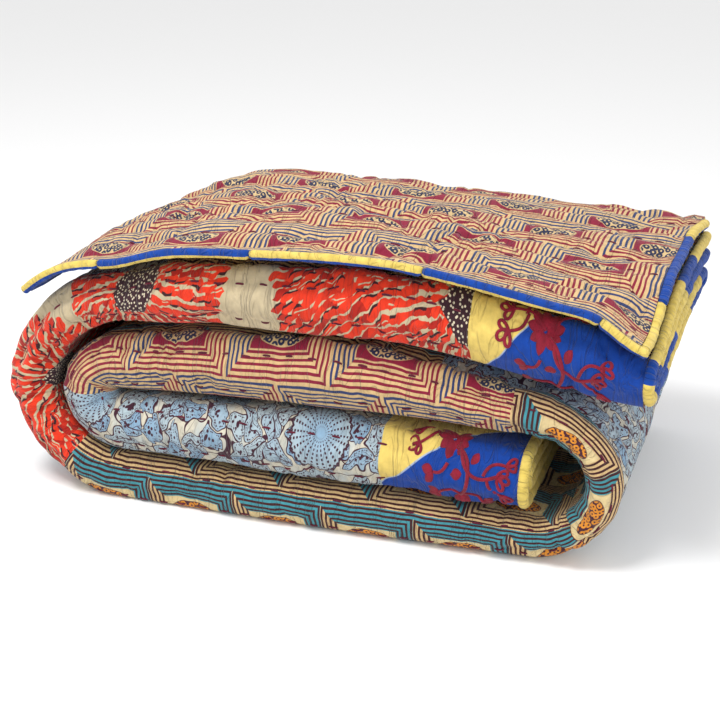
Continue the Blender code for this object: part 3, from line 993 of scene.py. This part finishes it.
def sheet_faces(rows: int, columns: int) -> tuple[Array, Array, Array]:
    """The faces of a closed sheet of two grids of points: those of each grid, and those round its edges."""
    first = np.arange(rows * columns).reshape(rows, columns)
    second = first + rows * columns
    edges = [grid_faces(np.stack(pair)) for pair in (
        (second[:, 0], first[:, 0]), (first[:, -1], second[:, -1]),
        (first[0], second[0]), (second[-1], first[-1]))]
    return grid_faces(first), grid_faces(second)[:, ::-1], np.concatenate(edges)


def tube_faces(rows: int, around: int) -> Array:
    """The faces of a tube of rings: its wall, then its two ends, where an odd ring leaves one sliver open."""
    number = np.arange(rows * around).reshape(rows, around)
    half = np.arange(around // 2)
    ends = [grid_faces(np.stack([ring[half], ring[around - 1 - half]])) for ring in (number[0], number[-1])]
    return np.concatenate([grid_faces(np.concatenate([number, number[:, :1]], 1)), ends[0][:, ::-1], ends[1]])


def repeated(faces: Array, count: int, points: int) -> Array:
    """The same faces on each of several sets of points."""
    return (faces[None] + (np.arange(count) * points)[:, None, None]).reshape(-1, 4)


def cloth_sheet(name: str, first: Array, second: Array, flat: Array, cloths: dict[Print, bpy.types.Material],
                choices: tuple[Any, Any, Any]) -> bpy.types.Object:
    """A closed sheet of quilted cloth from the grids of its two faces.

    Args:
        name: the piece's name.
        first: the points of one face, as an array (rows, columns, 3).
        second: the points of the other face, of the same shape.
        flat: their place on the flat cloth, as an array (rows, columns, 2).
        cloths: the materials.
        choices: the number of the cloth on the first face, on the second and on the edges, as one number
            or as one for each stretch of the face.

    Returns:
        The piece.
    """
    parts = sheet_faces(*first.shape[:2])
    chosen = [np.broadcast_to(np.ravel(choice), len(part)) for choice, part in zip(choices, parts)]
    piece = mesh_piece(name, np.stack([first, second]).reshape(-1, 3), np.concatenate(parts),
                       np.stack([flat, flat]).reshape(-1, 2), list(cloths.values()), np.concatenate(chosen))
    return piece


def middles(*grids: Array) -> list[Array]:
    """The middle of each stretch of some grids."""
    return [(grid[:-1, :-1] + grid[1:, 1:]) / 2 for grid in grids]


def steps_through(marks: list[float], step: float) -> Array:
    """Even steps that pass exactly through a list of marks."""
    parts = [np.linspace(a, b, max(1, round((b - a) / step)) + 1)[:-1] for a, b in zip(marks[:-1], marks[1:])]
    return np.concatenate(parts + [[marks[-1]]])


# Where the seams of the patchwork lie: along the strip, and across it for the row behind the front fold
FRONT_ROW = 0.325
INNER_SEAM = 0.135
LEFT_SEAM = 0.475
RIGHT_SEAM = 0.936
ROUND_SEAM = 1.118
SIDE_ROW = 0.212
SIDE_START = 0.860
SIDE_FIRST = 0.985
SIDE_SEAM = 1.290
BEND_SEAM = 1.655
TOP_BACK = 1.970
TOP_SEAM = 2.283
STRIP_LENGTH = sum(run.arc for run in STRIP_PATH)
CLOTH_WIDTH = sum(run.arc for run in SECTION)

PATCHES = (
    Patch(Print.HALVES, (0.0, INNER_SEAM), (FRONT_ROW, CLOTH_WIDTH)),
    Patch(Print.LEAF, (INNER_SEAM, LEFT_SEAM), (FRONT_ROW, CLOTH_WIDTH)),
    Patch(Print.STRIPE_MAROON, (LEFT_SEAM, RIGHT_SEAM), (FRONT_ROW, CLOTH_WIDTH)),
    Patch(Print.STRIPE_BEND, (RIGHT_SEAM, ROUND_SEAM), (FRONT_ROW, CLOTH_WIDTH)),
    Patch(Print.STRIPE_TEAL, (ROUND_SEAM, BEND_SEAM), (FRONT_ROW, CLOTH_WIDTH)),
    Patch(Print.BLOOM, (BEND_SEAM, TOP_SEAM), (FRONT_ROW, CLOTH_WIDTH)),
    Patch(Print.HALVES, (TOP_SEAM, STRIP_LENGTH), (FRONT_ROW, CLOTH_WIDTH)),
    Patch(Print.BLOOM, (0.0, LEFT_SEAM), (0.0, FRONT_ROW)),
    Patch(Print.STRIPE_TEAL, (LEFT_SEAM, SIDE_START), (0.0, FRONT_ROW)),
    Patch(Print.HALVES, (SIDE_START, SIDE_FIRST), (0.0, SIDE_ROW)),
    Patch(Print.LEAF, (SIDE_START, SIDE_FIRST), (SIDE_ROW, FRONT_ROW)),
    Patch(Print.LEAF, (SIDE_FIRST, SIDE_SEAM), (0.0, FRONT_ROW)),
    Patch(Print.STRIPE_MAROON, (SIDE_SEAM, BEND_SEAM), (0.0, FRONT_ROW)),
    Patch(Print.LEAF, (BEND_SEAM, TOP_BACK), (0.0, FRONT_ROW)),
    Patch(Print.STRIPE_TEAL, (TOP_BACK, STRIP_LENGTH), (0.0, FRONT_ROW)),
)


@dataclass
class Patchwork:
    """The quilt's folded strip: printed patches outside, striped backing inside."""
    folded: Folded
    cloths: dict[Print, bpy.types.Material]
    seed: int = 11

    def surface(self, along: Array, across: Array) -> Array:
        """Height of the printed face off the middle of the ply."""
        puffed = puff(along, across, self.seed)
        flat_below = smooth((self.folded.lift(along, across, 0.0)[..., 2] - 0.006) / 0.012)
        return PLY / 2 + puffed * flat_below

    def make(self) -> bpy.types.Object:
        """Build the strip as one closed sheet."""
        seams = sorted({mark for patch in PATCHES for mark in patch.along})
        along, across = np.meshgrid(steps_through(seams, ALONG_STEP), self.folded.cut.steps, indexing="ij")
        outer = self.folded.lift(along, across, self.surface(along, across))
        hidden = 0.0006 * drift(along / 0.04, across / 0.04, self.seed + 7)
        inner = self.folded.lift(along, across, -PLY / 2 - hidden)
        order = list(self.cloths)
        there, beside = middles(along, across)
        choice = np.zeros(there.shape, int)
        for patch in PATCHES:
            inside = (there > patch.along[0]) & (there < patch.along[1])
            inside &= (beside > patch.across[0]) & (beside < patch.across[1])
            choice[inside] = order.index(patch.cloth)
        plain = order.index(Print.STRIPE_MAROON)
        return cloth_sheet("quilted_strip", outer, inner, np.stack([along, across], -1), self.cloths,
                           (choice, plain, plain))


@dataclass
class TopPly:
    """The quilt's last ply over the top: striped backing up, and pieced borders under its bound edges.

    Args:
        flap: the surface that it lies on.
        cloths: the materials.
        seed: picks its gathers.
        step: about the size of its faces.
        border: the width of the pieced border.
    """
    flap: Flap
    cloths: dict[Print, bpy.types.Material]
    seed: int = 31
    step: float = 0.0055
    border: float = 0.024

    def surface(self, share: Array, travel: Array) -> Array:
        """Height of the upper face off the middle of the ply, thinned to the bound edges."""
        width = self.flap.width
        edge = np.minimum(np.minimum(share, 1 - share) * width, self.flap.length - travel)
        thin = smooth(edge / 0.020)
        high = FLAP_BINDING * FLAP_EDGE + (PLY / 2 - FLAP_BINDING * FLAP_EDGE) * thin
        along = share * width
        waves = puff(along, travel, self.seed) + 0.0012 * drift(along / 0.03, travel / 0.05, 5)
        return high + waves * (0.25 + 1.00 * thin)

    def make(self) -> bpy.types.Object:
        """Build the ply as one closed sheet."""
        size = (self.flap.width, self.flap.length)
        steps = [np.linspace(0, 1, round(length / self.step) + 1) * length for length in size]
        along, travel = np.meshgrid(*steps, indexing="ij")
        share = along / self.flap.width
        high = self.surface(share, travel)
        upper = self.flap.lift(share, travel, high)
        under = self.flap.lift(share, travel, -np.clip(high, FLAP_BINDING * FLAP_EDGE * 0.9, PLY / 2))
        maroon, yellow, blue = [list(self.cloths).index(key)
                                for key in (Print.STRIPE_MAROON, Print.YELLOW, Print.BLUE)]
        x, y = middles(along, travel)
        lengths = np.floor((x - FRONT_FIRST + BINDING) / BIND_LENGTH).astype(int)
        bordered = np.minimum(np.minimum(x, size[0] - x), size[1] - y) < self.border
        lining = np.where(bordered, np.where(lengths % 2 == 0, yellow, blue), maroon)
        return cloth_sheet("quilted_top_ply", under, upper, np.stack([along, travel], -1), self.cloths,
                           (lining, maroon, yellow))


def tubes(centre: Array, side: Array, rise: Array, radius: Array, around: int = 6) -> tuple[Array, Array]:
    """Threads as closed tubes: rings about each centre line, drawn in to a point at both ends.

    Args:
        centre: points of the centre lines, as an array (threads, points, 3).
        side: unit ways beside each point, of the same shape.
        rise: unit ways above each point, of the same shape.
        radius: radius at each point, as an array (threads, points).
        around: points in a ring.

    Returns:
        The points and the faces.
    """
    turn = np.arange(around) / around * 2 * np.pi
    ring = side[:, :, None] * np.cos(turn)[:, None] + rise[:, :, None] * 0.8 * np.sin(turn)[:, None]
    points = centre[:, :, None] + ring * radius[:, :, None, None]
    threads, rows = centre.shape[:2]
    return points.reshape(-1, 3), repeated(tube_faces(rows, around), threads, rows * around)


@dataclass
class Cover:
    """A face of the cloth that threads are sewn into, whichever ply it belongs to.

    Args:
        lift: gives the place of (along, across, height), in metres on the flat cloth.
        surface: gives the height of the face at (along, across).
    """
    lift: Callable[[Array, Array, Array], Array]
    surface: Callable[[Array, Array], Array]

    def frame(self, along: Array, across: Array, height: Array) -> tuple[Array, Array, Array]:
        """Points at a height off the face, and the unit ways along and across the cloth and out of it."""
        step = 0.0008
        ground = self.surface(along, across)
        here = self.lift(along, across, ground + height)
        ahead = self.lift(along + step, across, ground + height) - here
        beside = self.lift(along, across + step, ground + height) - here
        out = np.cross(ahead, beside)
        level = self.lift(along, across, ground + height + step) - here
        out = out * np.sign((out * level).sum(-1, keepdims=True))
        return here, unit(ahead), unit(out)


def unit(way: Array) -> Array:
    """The same ways, one metre long each."""
    return way / np.maximum(np.linalg.norm(way, axis=-1, keepdims=True), 1e-12)


@dataclass
class Quilting:
    """Rows of running stitches in thick cotton thread, along the valleys that they draw into the cloth."""
    thread: bpy.types.Material
    seed: int = 3

    def sew(self, name: str, cover: Cover, rows: Array, reach: tuple[float, float],
            skip_plain: bool) -> bpy.types.Object:
        """Sew rows of stitches into a face.

        Args:
            name: the piece's name.
            cover: the face of the cloth.
            rows: where the rows lie across the cloth.
            reach: where they start and end along it.
            skip_plain: leave out the yellow and blue patches, which are embroidered instead.

        Returns:
            All of its stitches, as one piece.
        """
        dice = np.random.default_rng(self.seed)
        count = int((reach[1] - reach[0]) / STITCH_PITCH)
        shape = (len(rows), count)
        middle = reach[0] + (np.arange(count) + 0.5 + dice.uniform(-0.13, 0.13, shape)) * STITCH_PITCH
        middle = middle + dice.uniform(0, 1, (len(rows), 1)) * STITCH_PITCH * 0.8 - STITCH_PITCH * 0.4
        level = rows[:, None] + dice.normal(0, 0.0008, shape)
        length = STITCH_LENGTH * dice.uniform(0.8, 1.15, shape)
        slant = dice.normal(0, 0.05, shape)
        share = np.array([-0.5, -0.38, -0.13, 0.13, 0.38, 0.5])
        along = (middle[..., None] + length[..., None] * share).reshape(-1, len(share))
        across = (level[..., None] + (length * slant)[..., None] * share).reshape(-1, len(share))
        plain = [patch for patch in PATCHES if patch.cloth is Print.HALVES]
        kept = np.ones(len(along), bool)
        for patch in plain if skip_plain else []:
            kept &= ~((along[:, 0] > patch.along[0] - 0.004) & (along[:, -1] < patch.along[1] + 0.004)
                      & (across[:, 0] > patch.across[0]) & (across[:, 0] < patch.across[1]))
        along, across = along[kept], across[kept]
        rise = 0.0006 - 0.0021 * (2 * np.abs(share)) ** 5
        along = np.clip(along, reach[0] + 0.001, reach[1] - 0.001)
        centre, ahead, out = cover.frame(along, across, rise)
        side = np.cross(ahead, out)
        radius = STITCH_RADIUS * np.array([0.55, 1.0, 1.12, 1.12, 1.0, 0.55]) * np.ones(along.shape)
        points, faces = tubes(centre, side, out, radius)
        flat = np.repeat(np.stack([along, across], -1).reshape(-1, 2), 6, axis=0)
        piece = mesh_piece(name, points, faces, flat, [self.thread])
        return piece


class Stem(NamedTuple):
    """A couched stem: a curve from one place to another, bowed to one side, in millimetres on the sprig."""
    start: tuple[float, float]
    end: tuple[float, float]
    bow: float
    width: float = 1.3


class Petal(NamedTuple):
    """A satin-stitched petal or leaf: where it is joined, its way in degrees, its length and width in mm."""
    foot: tuple[float, float]
    way: float
    length: float
    width: float


# A sprig of the builder's own drawing: a shaggy head, stems that curl away from it, buds of open loops
SPRIG_STEMS = (
    Stem((0, 0), (-34, 10), -7), Stem((-18, 9), (-36, -8), 4), Stem((-20, 9), (-28, 26), -4),
    Stem((4, -4), (12, -50), 12, 1.5), Stem((8, -2), (50, -26), -15, 1.5), Stem((12, -50), (34, -58), 6),
    Stem((12, -50), (-12, -52), -6), Stem((36, -27), (58, -16), 5), Stem((40, -30), (56, -42), -4),
    Stem((10, 6), (30, 18), 5), Stem((-2, -22), (-16, -30), 3),
)
STEM_SCALE = 1.35
SPRIG_PETALS = tuple(
    [Petal((1.5 * math.cos(math.radians(turn)), 1.5 * math.sin(math.radians(turn))), turn, length, 9.5)
     for turn, length in ((20, 18), (58, 22), (95, 20), (132, 21), (170, 17), (215, 15), (258, 18), (305, 15),
                          (345, 15))]
    + [Petal(foot, way, 12.5, 8.5) for foot, way in (
        ((12, -50), 235), ((12, -50), 275), ((12, -50), 315), ((30, 18), 10), ((30, 18), 60), ((30, 18), 110),
        ((-12, -52), 150), ((-12, -52), 200), ((-12, -52), 250), ((34, -58), 20), ((34, -58), 330),
        ((34, -58), 280), ((-16, -30), 170), ((-16, -30), 230), ((22, -20), 60), ((14, -28), 190))])
SPRIG_LOOPS = (
    Petal((-34, 10), 130, 12, 8), Petal((-34, 10), 180, 12, 8), Petal((-34, 10), 235, 11, 7),
    Petal((-36, -8), 150, 11, 7), Petal((-36, -8), 215, 12, 8), Petal((-36, -8), 275, 11, 7),
    Petal((-28, 26), 70, 11, 7), Petal((-28, 26), 125, 12, 8), Petal((-28, 26), 180, 10, 7),
    Petal((50, -26), 345, 13, 7), Petal((50, -26), 25, 11, 7), Petal((50, -26), 300, 12, 7),
    Petal((58, -16), 40, 12, 7), Petal((58, -16), 355, 12, 7), Petal((56, -42), 320, 12, 7),
    Petal((56, -42), 275, 12, 7),
)


@dataclass
class Sprig:
    """A sprig embroidered in thick red thread on the plain patches.

    Args:
        thread: the thread's finish.
        middle: where the head lies on the cloth.
        turn: how far the sprig is turned, in degrees.
        size: times its drawn size.
        mirrored: drawn the other way round.
        within: how far it may reach, as (from, to) along the cloth.
    """
    thread: bpy.types.Material
    middle: tuple[float, float]
    turn: float
    size: float
    mirrored: bool
    within: tuple[float, float]

    def on_cloth(self, x: Array, y: Array) -> tuple[Array, Array]:
        """Places on the cloth from places on the drawing, in millimetres."""
        turn = math.radians(self.turn)
        side = -1.0 if self.mirrored else 1.0
        along = self.middle[0] + 0.001 * self.size * side * (x * math.cos(turn) - y * math.sin(turn))
        across = self.middle[1] + 0.001 * self.size * (x * math.sin(turn) + y * math.cos(turn))
        return np.clip(along, *self.within), across

    def lines(self) -> tuple[Array, Array, Array]:
        """Centre lines of the stems and loops, in millimetres, with their width."""
        share = np.linspace(0, 1, 17)
        rows = []
        for stem in SPRIG_STEMS:
            start, end = np.array(stem.start), np.array(stem.end)
            way = (end - start) / np.linalg.norm(end - start)
            side = np.array([-way[1], way[0]]) * stem.bow * 4
            line = start + share[:, None] * (end - start) + (share * (1 - share))[:, None] * side
            rows.append((line, np.full(len(share), stem.width * STEM_SCALE)))
        for loop in SPRIG_LOOPS:
            turn = share * 2 * np.pi
            body = np.stack([loop.length / 2 * (1 - np.cos(turn)), loop.width / 2 * np.sin(turn)
                             * (0.55 + 0.45 * (1 - np.cos(turn)) / 2)], -1)
            rows.append((turned(body, loop.way) + np.array(loop.foot), np.full(len(share), 1.75)))
        lines = np.array([row[0] for row in rows])
        return lines[..., 0], lines[..., 1], np.array([row[1] for row in rows])

    def petals(self) -> tuple[Array, Array, Array]:
        """Grids of the petals, in millimetres: places and height.

        Each is a leaf whose half width goes as the sine along it and whose height is a flat dome.
        """
        u, v = np.meshgrid(np.linspace(0, 1, 11), np.linspace(-1, 1, 7), indexing="ij")
        shapes = []
        for petal in SPRIG_PETALS:
            half = petal.width / 2 * np.sin(np.pi * np.clip(u, 0.0, 1)) ** 0.75
            body = np.stack([petal.length * u, half * v], -1)
            height = 1.25 * np.sqrt(np.clip(1 - v ** 2, 0, 1)) * np.sin(np.pi * u) ** 0.5
            placed = turned(body, petal.way) + np.array(petal.foot)
            shapes.append(np.concatenate([placed, height[..., None]], -1))
        made = np.array(shapes)
        return made[..., 0], made[..., 1], made[..., 2]

    def sew(self, name: str, cover: Cover) -> bpy.types.Object:
        """Sew the sprig onto a face of the cloth.

        Args:
            name: the piece's name.
            cover: the face of the cloth.

        Returns:
            The sprig, as one piece.
        """
        x, y, width = self.lines()
        along, across = self.on_cloth(x, y)
        centre, _, out = cover.frame(along, across, np.full(along.shape, 0.0004))
        way = unit(np.gradient(centre, axis=1))
        points, faces = tubes(centre, unit(np.cross(way, out)), out, width * 0.001 * self.size)
        x, y, height = self.petals()
        p_along, p_across = self.on_cloth(x, y)
        top = cover.frame(p_along, p_across, height * 0.001 * self.size + 0.0002)[0]
        foot = cover.frame(p_along, p_across, np.full(height.shape, -0.0008))[0]
        count, rows, columns = height.shape
        both = np.stack([top.reshape(count, -1, 3), foot.reshape(count, -1, 3)], 1).reshape(-1, 3)
        more = repeated(np.concatenate(sheet_faces(rows, columns)), count, 2 * rows * columns) + len(points)
        flat_lines = np.repeat(np.stack([along, across], -1).reshape(-1, 2), 6, axis=0)
        leaf_flat = np.stack([p_along, p_across], -1).reshape(count, -1, 2)
        flat = np.concatenate([flat_lines, np.stack([leaf_flat, leaf_flat], 1).reshape(-1, 2)])
        piece = mesh_piece(name, np.concatenate([points, both]), np.concatenate([faces, more]), flat,
                           [self.thread])
        return piece


def turned(points: Array, degrees: float) -> Array:
    """Flat places turned about the origin."""
    angle = math.radians(degrees)
    x, y = points[..., 0], points[..., 1]
    cosine, sine = math.cos(angle), math.sin(angle)
    return np.stack([x * cosine - y * sine, x * sine + y * cosine], -1)


@dataclass
class Binding:
    """Rolled cotton binding sewn over the edges, in lengths of yellow and blue.

    Args:
        yellow: one colour of cotton.
        blue: the other.
        step: the length of its faces round the top ply.
        facing: the share of half its height below which the other colour shows there.
        made: its pieces so far.
    """
    yellow: bpy.types.Material
    blue: bpy.types.Material
    step: float = 0.0028
    facing: float = -0.30
    made: list[bpy.types.Object] = field(default_factory=list)

    def roll(self, node: str, centre: Array, out: Array, up: Array, half: float, colour: Array,
             slot: str) -> bpy.types.Object:
        """One length of binding along an edge, which stands for a node.

        Args:
            node: the node that it replaces.
            centre: points along the cloth's edge.
            out: unit ways out of the edge.
            up: ways across the edge, one metre of cloth long.
            half: half the height of the roll.
            colour: 0 for yellow and 1 for blue, for each face of the roll: stretches by places around.
            slot: not used; the colours pick the material slots.

        Returns:
            The piece.
        """
        profile = round_profile(half)
        along = np.concatenate([[0.0], np.cumsum(np.linalg.norm(np.diff(centre, axis=0), axis=1))])
        around = np.arange(len(profile))
        wrinkle = 1 + 0.07 * drift(along[:, None] / 0.0058, around[None, :] / 3.4, 41)
        wrinkle = wrinkle * (1 + 0.05 * drift(along[:, None] / 0.021, 0 * around[None, :], 43))
        to_end = np.minimum(along, along[-1] - along) / END_ROUND
        ends = np.sqrt(np.clip(1 - (1 - to_end).clip(0, 1) ** 2, 0.45, 1))
        wrinkle = wrinkle * ends[:, None]
        middle = np.array([profile[:, 0].min(), 0.0])
        cut = middle + (profile - middle)[None] * wrinkle[..., None]
        points = centre[:, None] + out[:, None] * cut[..., :1] + up[:, None] * cut[..., 1:]
        rows, columns = points.shape[:2]
        faces = tube_faces(rows, columns)
        colour = np.broadcast_to(colour, (rows - 1, columns))
        chosen = np.concatenate([colour.ravel(), np.full(len(faces) - colour.size, colour[0, columns // 2])])
        flat = np.stack([along[:, None] + 0 * around, profile[:, 1][None] * 1.5 + 0 * along[:, None]], -1)
        piece = mesh_piece(f"{node}_cotton", points.reshape(-1, 3), faces, flat.reshape(-1, 2),
                           [self.yellow, self.blue], chosen)
        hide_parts(node)
        self.made.append(piece)
        return piece

    def around_flap(self, flap: Flap) -> None:
        """Bind the left, front and right edges of the top ply, in turn yellow and blue."""
        end = (BINDING + CLEAR) / flap.width
        front = np.linspace(-end, 1 + end, 260)
        side = np.linspace(flap.length, flap.fold_length + FLAP_ROW, 150)
        edges = (
            ("front_binding", front, np.full(len(front), flap.length), 2, 1.0, FRONT_FIRST),
            ("left_binding", np.zeros(len(side)), side, 1, -1.0, LEFT_FIRST),
            ("right_binding", np.ones(len(side)), side, 1, 1.0, RIGHT_FIRST),
        )
        for name, share, travel, axis, sign, first in edges:
            held = np.clip(share, 0.0, 1.0)
            middle = flap.middle(held, travel)
            ways = flap.normals(np.clip(share, 0.004, 0.996), np.minimum(travel, flap.length - 0.002))
            middle = middle + ways[1] * ((share - held) * flap.width)[:, None]
            up, out = ways[0], ways[axis] * sign
            along = np.concatenate([[0.0], np.cumsum(np.linalg.norm(np.diff(middle, axis=0), axis=1))])
            joins = np.arange(first, along[-1] - BIND_LENGTH * 0.2, BIND_LENGTH)
            marks = np.concatenate([[0.0], joins, [along[-1]]])
            for index, (low, high) in enumerate(zip(marks[:-1], marks[1:])):
                count = max(3, round((high - low) / self.step))
                at = np.linspace(low + SEAM_GAP / 2, high - SEAM_GAP / 2, count)
                parts = [np.stack([np.interp(at, along, part[:, k]) for k in range(3)], 1)
                         for part in (middle, out, up)]
                main_colour = index % 2
                height = round_profile(1.0)[:, 1]
                below = (height + np.roll(height, -1)) / 2 < self.facing
                colour = np.where(below, 1 - main_colour, main_colour)[None, :]
                self.roll(f"{name}_{index + 1}", *parts, FLAP_BINDING, colour,
                          "blue_binding" if main_colour else "yellow_binding")

    def over_end(self, node: str, folded: Folded, along: float, sign: float, lengths: Array) -> None:
        """Bind a short end of the strip along its plies, back and forth; colour changes at each length."""
        across = np.linspace(0, folded.cut.length, 420)
        place, way = folded.cut.place(across), folded.cut.ahead(across)
        right = np.stack([way[:, 1], -way[:, 0]], -1)
        station = np.full(len(across), along)
        middle = folded.carry(station, place[:, 0], place[:, 1])
        step = 0.001
        beside = place + right * step
        up = (folded.carry(station, beside[:, 0], beside[:, 1]) - middle) / step
        out = unit(folded.carry(station, place[:, 0], place[:, 1], sign * step) - middle)
        colour = (np.searchsorted(lengths, (across[:-1] + across[1:]) / 2) % 2)[:, None]
        self.roll(node, middle, out, up, END_BINDING, colour, "yellow_binding")

    def over_edge(self, node: str, folded: Folded, across: float, last: float) -> None:
        """Bind a long edge of the cloth along its back, all in blue."""
        along = np.arange(0, last, 0.0065)
        y, outward = np.full(len(along), BACK), np.full(len(along), across)
        inner, outer = [folded.carry(along, y, outward + side * END_BINDING) for side in (-1, 1)]
        out = unit(folded.carry(along, y + 0.001, outward) - folded.carry(along, y, outward))
        self.roll(node, (inner + outer) / 2, out, (outer - inner) / (2 * END_BINDING), END_BINDING,
                  np.array([[1]]), "blue_binding")


@dataclass
class Camera:
    """The view of the photograph: from the front, a little from the right and from above."""
    azimuth: float = 18.5
    elevation: float = 21.5
    distance: float = 1.55
    lens: float = 72.0
    target: tuple[float, float, float] = (-0.004, 0.0, 0.112)

    def make(self) -> None:
        """Place the camera and make it the scene's."""
        turn, rise = math.radians(self.azimuth), math.radians(self.elevation)
        back = Vector((math.sin(turn) * math.cos(rise), -math.cos(turn) * math.cos(rise), math.sin(rise)))
        lens = bpy.data.cameras.new("camera")
        lens.lens = self.lens
        lens.sensor_width = 36.0
        item = bpy.data.objects.new("camera", lens)
        item.location = Vector(self.target) + back * self.distance
        item.rotation_euler = back.to_track_quat("Z", "Y").to_euler()
        bpy.context.scene.collection.objects.link(item)
        bpy.context.scene.camera = item


@dataclass
class Studio:
    """A pale floor and broad, soft lights, most of it from the upper left."""
    floor: float = 6.0

    def light(self, name: str, place: tuple[float, float, float], size: float, power: float) -> None:
        """Add one square light that looks at the quilt."""
        lamp = bpy.data.lights.new(name, "AREA")
        lamp.size = size
        lamp.energy = power
        item = bpy.data.objects.new(name, lamp)
        item.location = place
        item.rotation_euler = (Vector(place) - Vector((0, 0, 0.12))).to_track_quat("Z", "Y").to_euler()
        bpy.context.scene.collection.objects.link(item)

    def make(self) -> None:
        """Build the floor, the sky and the lights."""
        half = self.floor
        mesh = bpy.data.meshes.new("floor")
        corners = [(x * half, y * half, 0) for x, y in ((-1, -1), (1, -1), (1, 1), (-1, 1))]
        mesh.from_pydata(corners, [], [(0, 1, 2, 3)])
        ground = bpy.data.objects.new("floor", mesh)
        bpy.context.scene.collection.objects.link(ground)
        r = Recipe("white_card")
        r.shader.inputs["Base Color"].default_value = linear("#ECECEC")
        r.shader.inputs["Roughness"].default_value = 0.9
        mesh.materials.append(r.material)
        world = bpy.data.worlds.new("studio")
        world.use_nodes = True
        world.node_tree.nodes["Background"].inputs["Color"].default_value = (1, 1, 1, 1)
        world.node_tree.nodes["Background"].inputs["Strength"].default_value = 0.95
        bpy.context.scene.world = world
        self.light("key", (-0.45, -0.70, 1.95), 0.7, 30.0)
        self.light("fill", (1.6, -1.3, 0.9), 1.2, 12.0)
        bpy.context.scene.view_settings.view_transform = "Standard"


def make_cloths() -> dict[Print, bpy.types.Material]:
    """The quilt's cottons, each a plain-woven cloth with its own print."""
    cream = "#DFBC86"
    maroon = StripePrint((cream, cream), ("#8C1B38", "#34406E"), "#8E1838", "#DDBF8A", "#262C4E",
                         width=0.106, offset=(-0.0185, 0.0), ink=0.46)
    teal = StripePrint(("#4596A2", cream), ("#431A1C", "#431A1C"), "#E6CE98", "#4F2430", "#E8942E",
                       lean=-1.0, offset=(-0.055, -0.012))
    halves = HalvesPrint((Diagonal((2.270, 0.425), -1.15, -1.0, STRIP_LENGTH),
                          Diagonal((0.920, 0.150), 0.8, 1.0, 1.2), Diagonal((0.047, 0.410), -0.72, 1.0, 0.4)))
    prints = {
        Print.STRIPE_MAROON: maroon,
        Print.STRIPE_TEAL: teal,
        Print.STRIPE_BEND: replace(teal, offset=(-0.006, -0.036)),
        Print.BLOOM: BloomPrint(),
        Print.LEAF: LeafPrint(),
        Print.HALVES: halves,
        Print.YELLOW: PlainPrint("#F0D46E", "#E2C65E"),
        Print.BLUE: PlainPrint("#0046A8", "#003A90"),
    }
    return {key: dress(printed, Cotton(f"plain_woven_cotton_{key.value}")) for key, printed in prints.items()}


def make_thread(name: str, colour: str, worn: str) -> bpy.types.Material:
    """Thick, soft-twisted cotton thread."""
    return dress(PlainPrint(colour, worn), Cotton(name, roughness=0.7, weave_mm=1.0, crease=0.2))


def main() -> None:
    """Build the quilt piece by piece, then the camera and the light."""
    Camera().make()
    folded = Folded()
    flap = Flap(folded)
    cloths = make_cloths()
    patchwork = Patchwork(folded, cloths)
    strip = patchwork.make()
    LOG.info("strip: %d faces", len(strip.data.polygons))
    ply = TopPly(flap, cloths)
    top = ply.make()
    LOG.info("top ply: %d faces", len(top.data.polygons))
    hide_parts("quilt")
    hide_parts("quilt")

    binding = Binding(cloths[Print.YELLOW], cloths[Print.BLUE])
    binding.around_flap(flap)
    binding.over_end("inner_end_binding", folded, 0.0, -1.0, np.array([]))
    binding.over_end("outer_end_binding", folded, folded.path.length, 1.0,
                     np.array([0.11, 0.19, 0.335, 0.36, 0.405, 0.47, 0.62, 0.78, 0.95, 1.1, 1.25]))
    first = float(flap.stations[0])
    binding.over_edge("outer_long_binding", folded, OUTER, first)
    binding.over_edge("inner_long_binding", folded, INNER, folded.path.length)
    LOG.info("bindings: %d pieces", len(binding.made))

    front = Cover(folded.lift, patchwork.surface)
    upper = Cover(lambda along, travel, height: flap.lift(along / flap.width, travel, height),
                  lambda along, travel: ply.surface(along / flap.width, travel))
    thread = make_thread("running_stitch_thread", "#6E1430", "#56102A")
    quilting = Quilting(thread)
    strip_stitches = quilting.sew("strip_stitches", front, np.arange(1, 15) * RIB_PITCH,
                                  (0.0, folded.path.length), True)
    rows = np.arange(2, int(flap.length / RIB_PITCH) + 1) * RIB_PITCH
    top_stitches = quilting.sew("top_stitches", upper, rows, (0.0, flap.width), False)
    red = make_thread("embroidery_thread", "#960A2E", "#7C0826")
    sprigs = (
        Sprig(red, (2.352, 0.350), 180.0, 0.92, True, (TOP_SEAM + 0.004, folded.path.length - 0.004)),
        Sprig(red, (0.066, 0.396), 0.0, 0.92, True, (0.004, INNER_SEAM + 0.03)),
        Sprig(red, (0.925, 0.120), 90.0, 0.80, False, (0.864, SIDE_FIRST)),
    )
    embroidered = [sprig.sew(f"sprig_{index + 1}", front) for index, sprig in enumerate(sprigs)]
    LOG.info("stitches and sprigs: %d faces", sum(
        len(item.data.polygons) for item in [strip_stitches, top_stitches] + embroidered))
    Studio().make()


if __name__ == "__main__":
    logging.basicConfig(level=logging.INFO, format="%(name)s %(message)s")
    main()
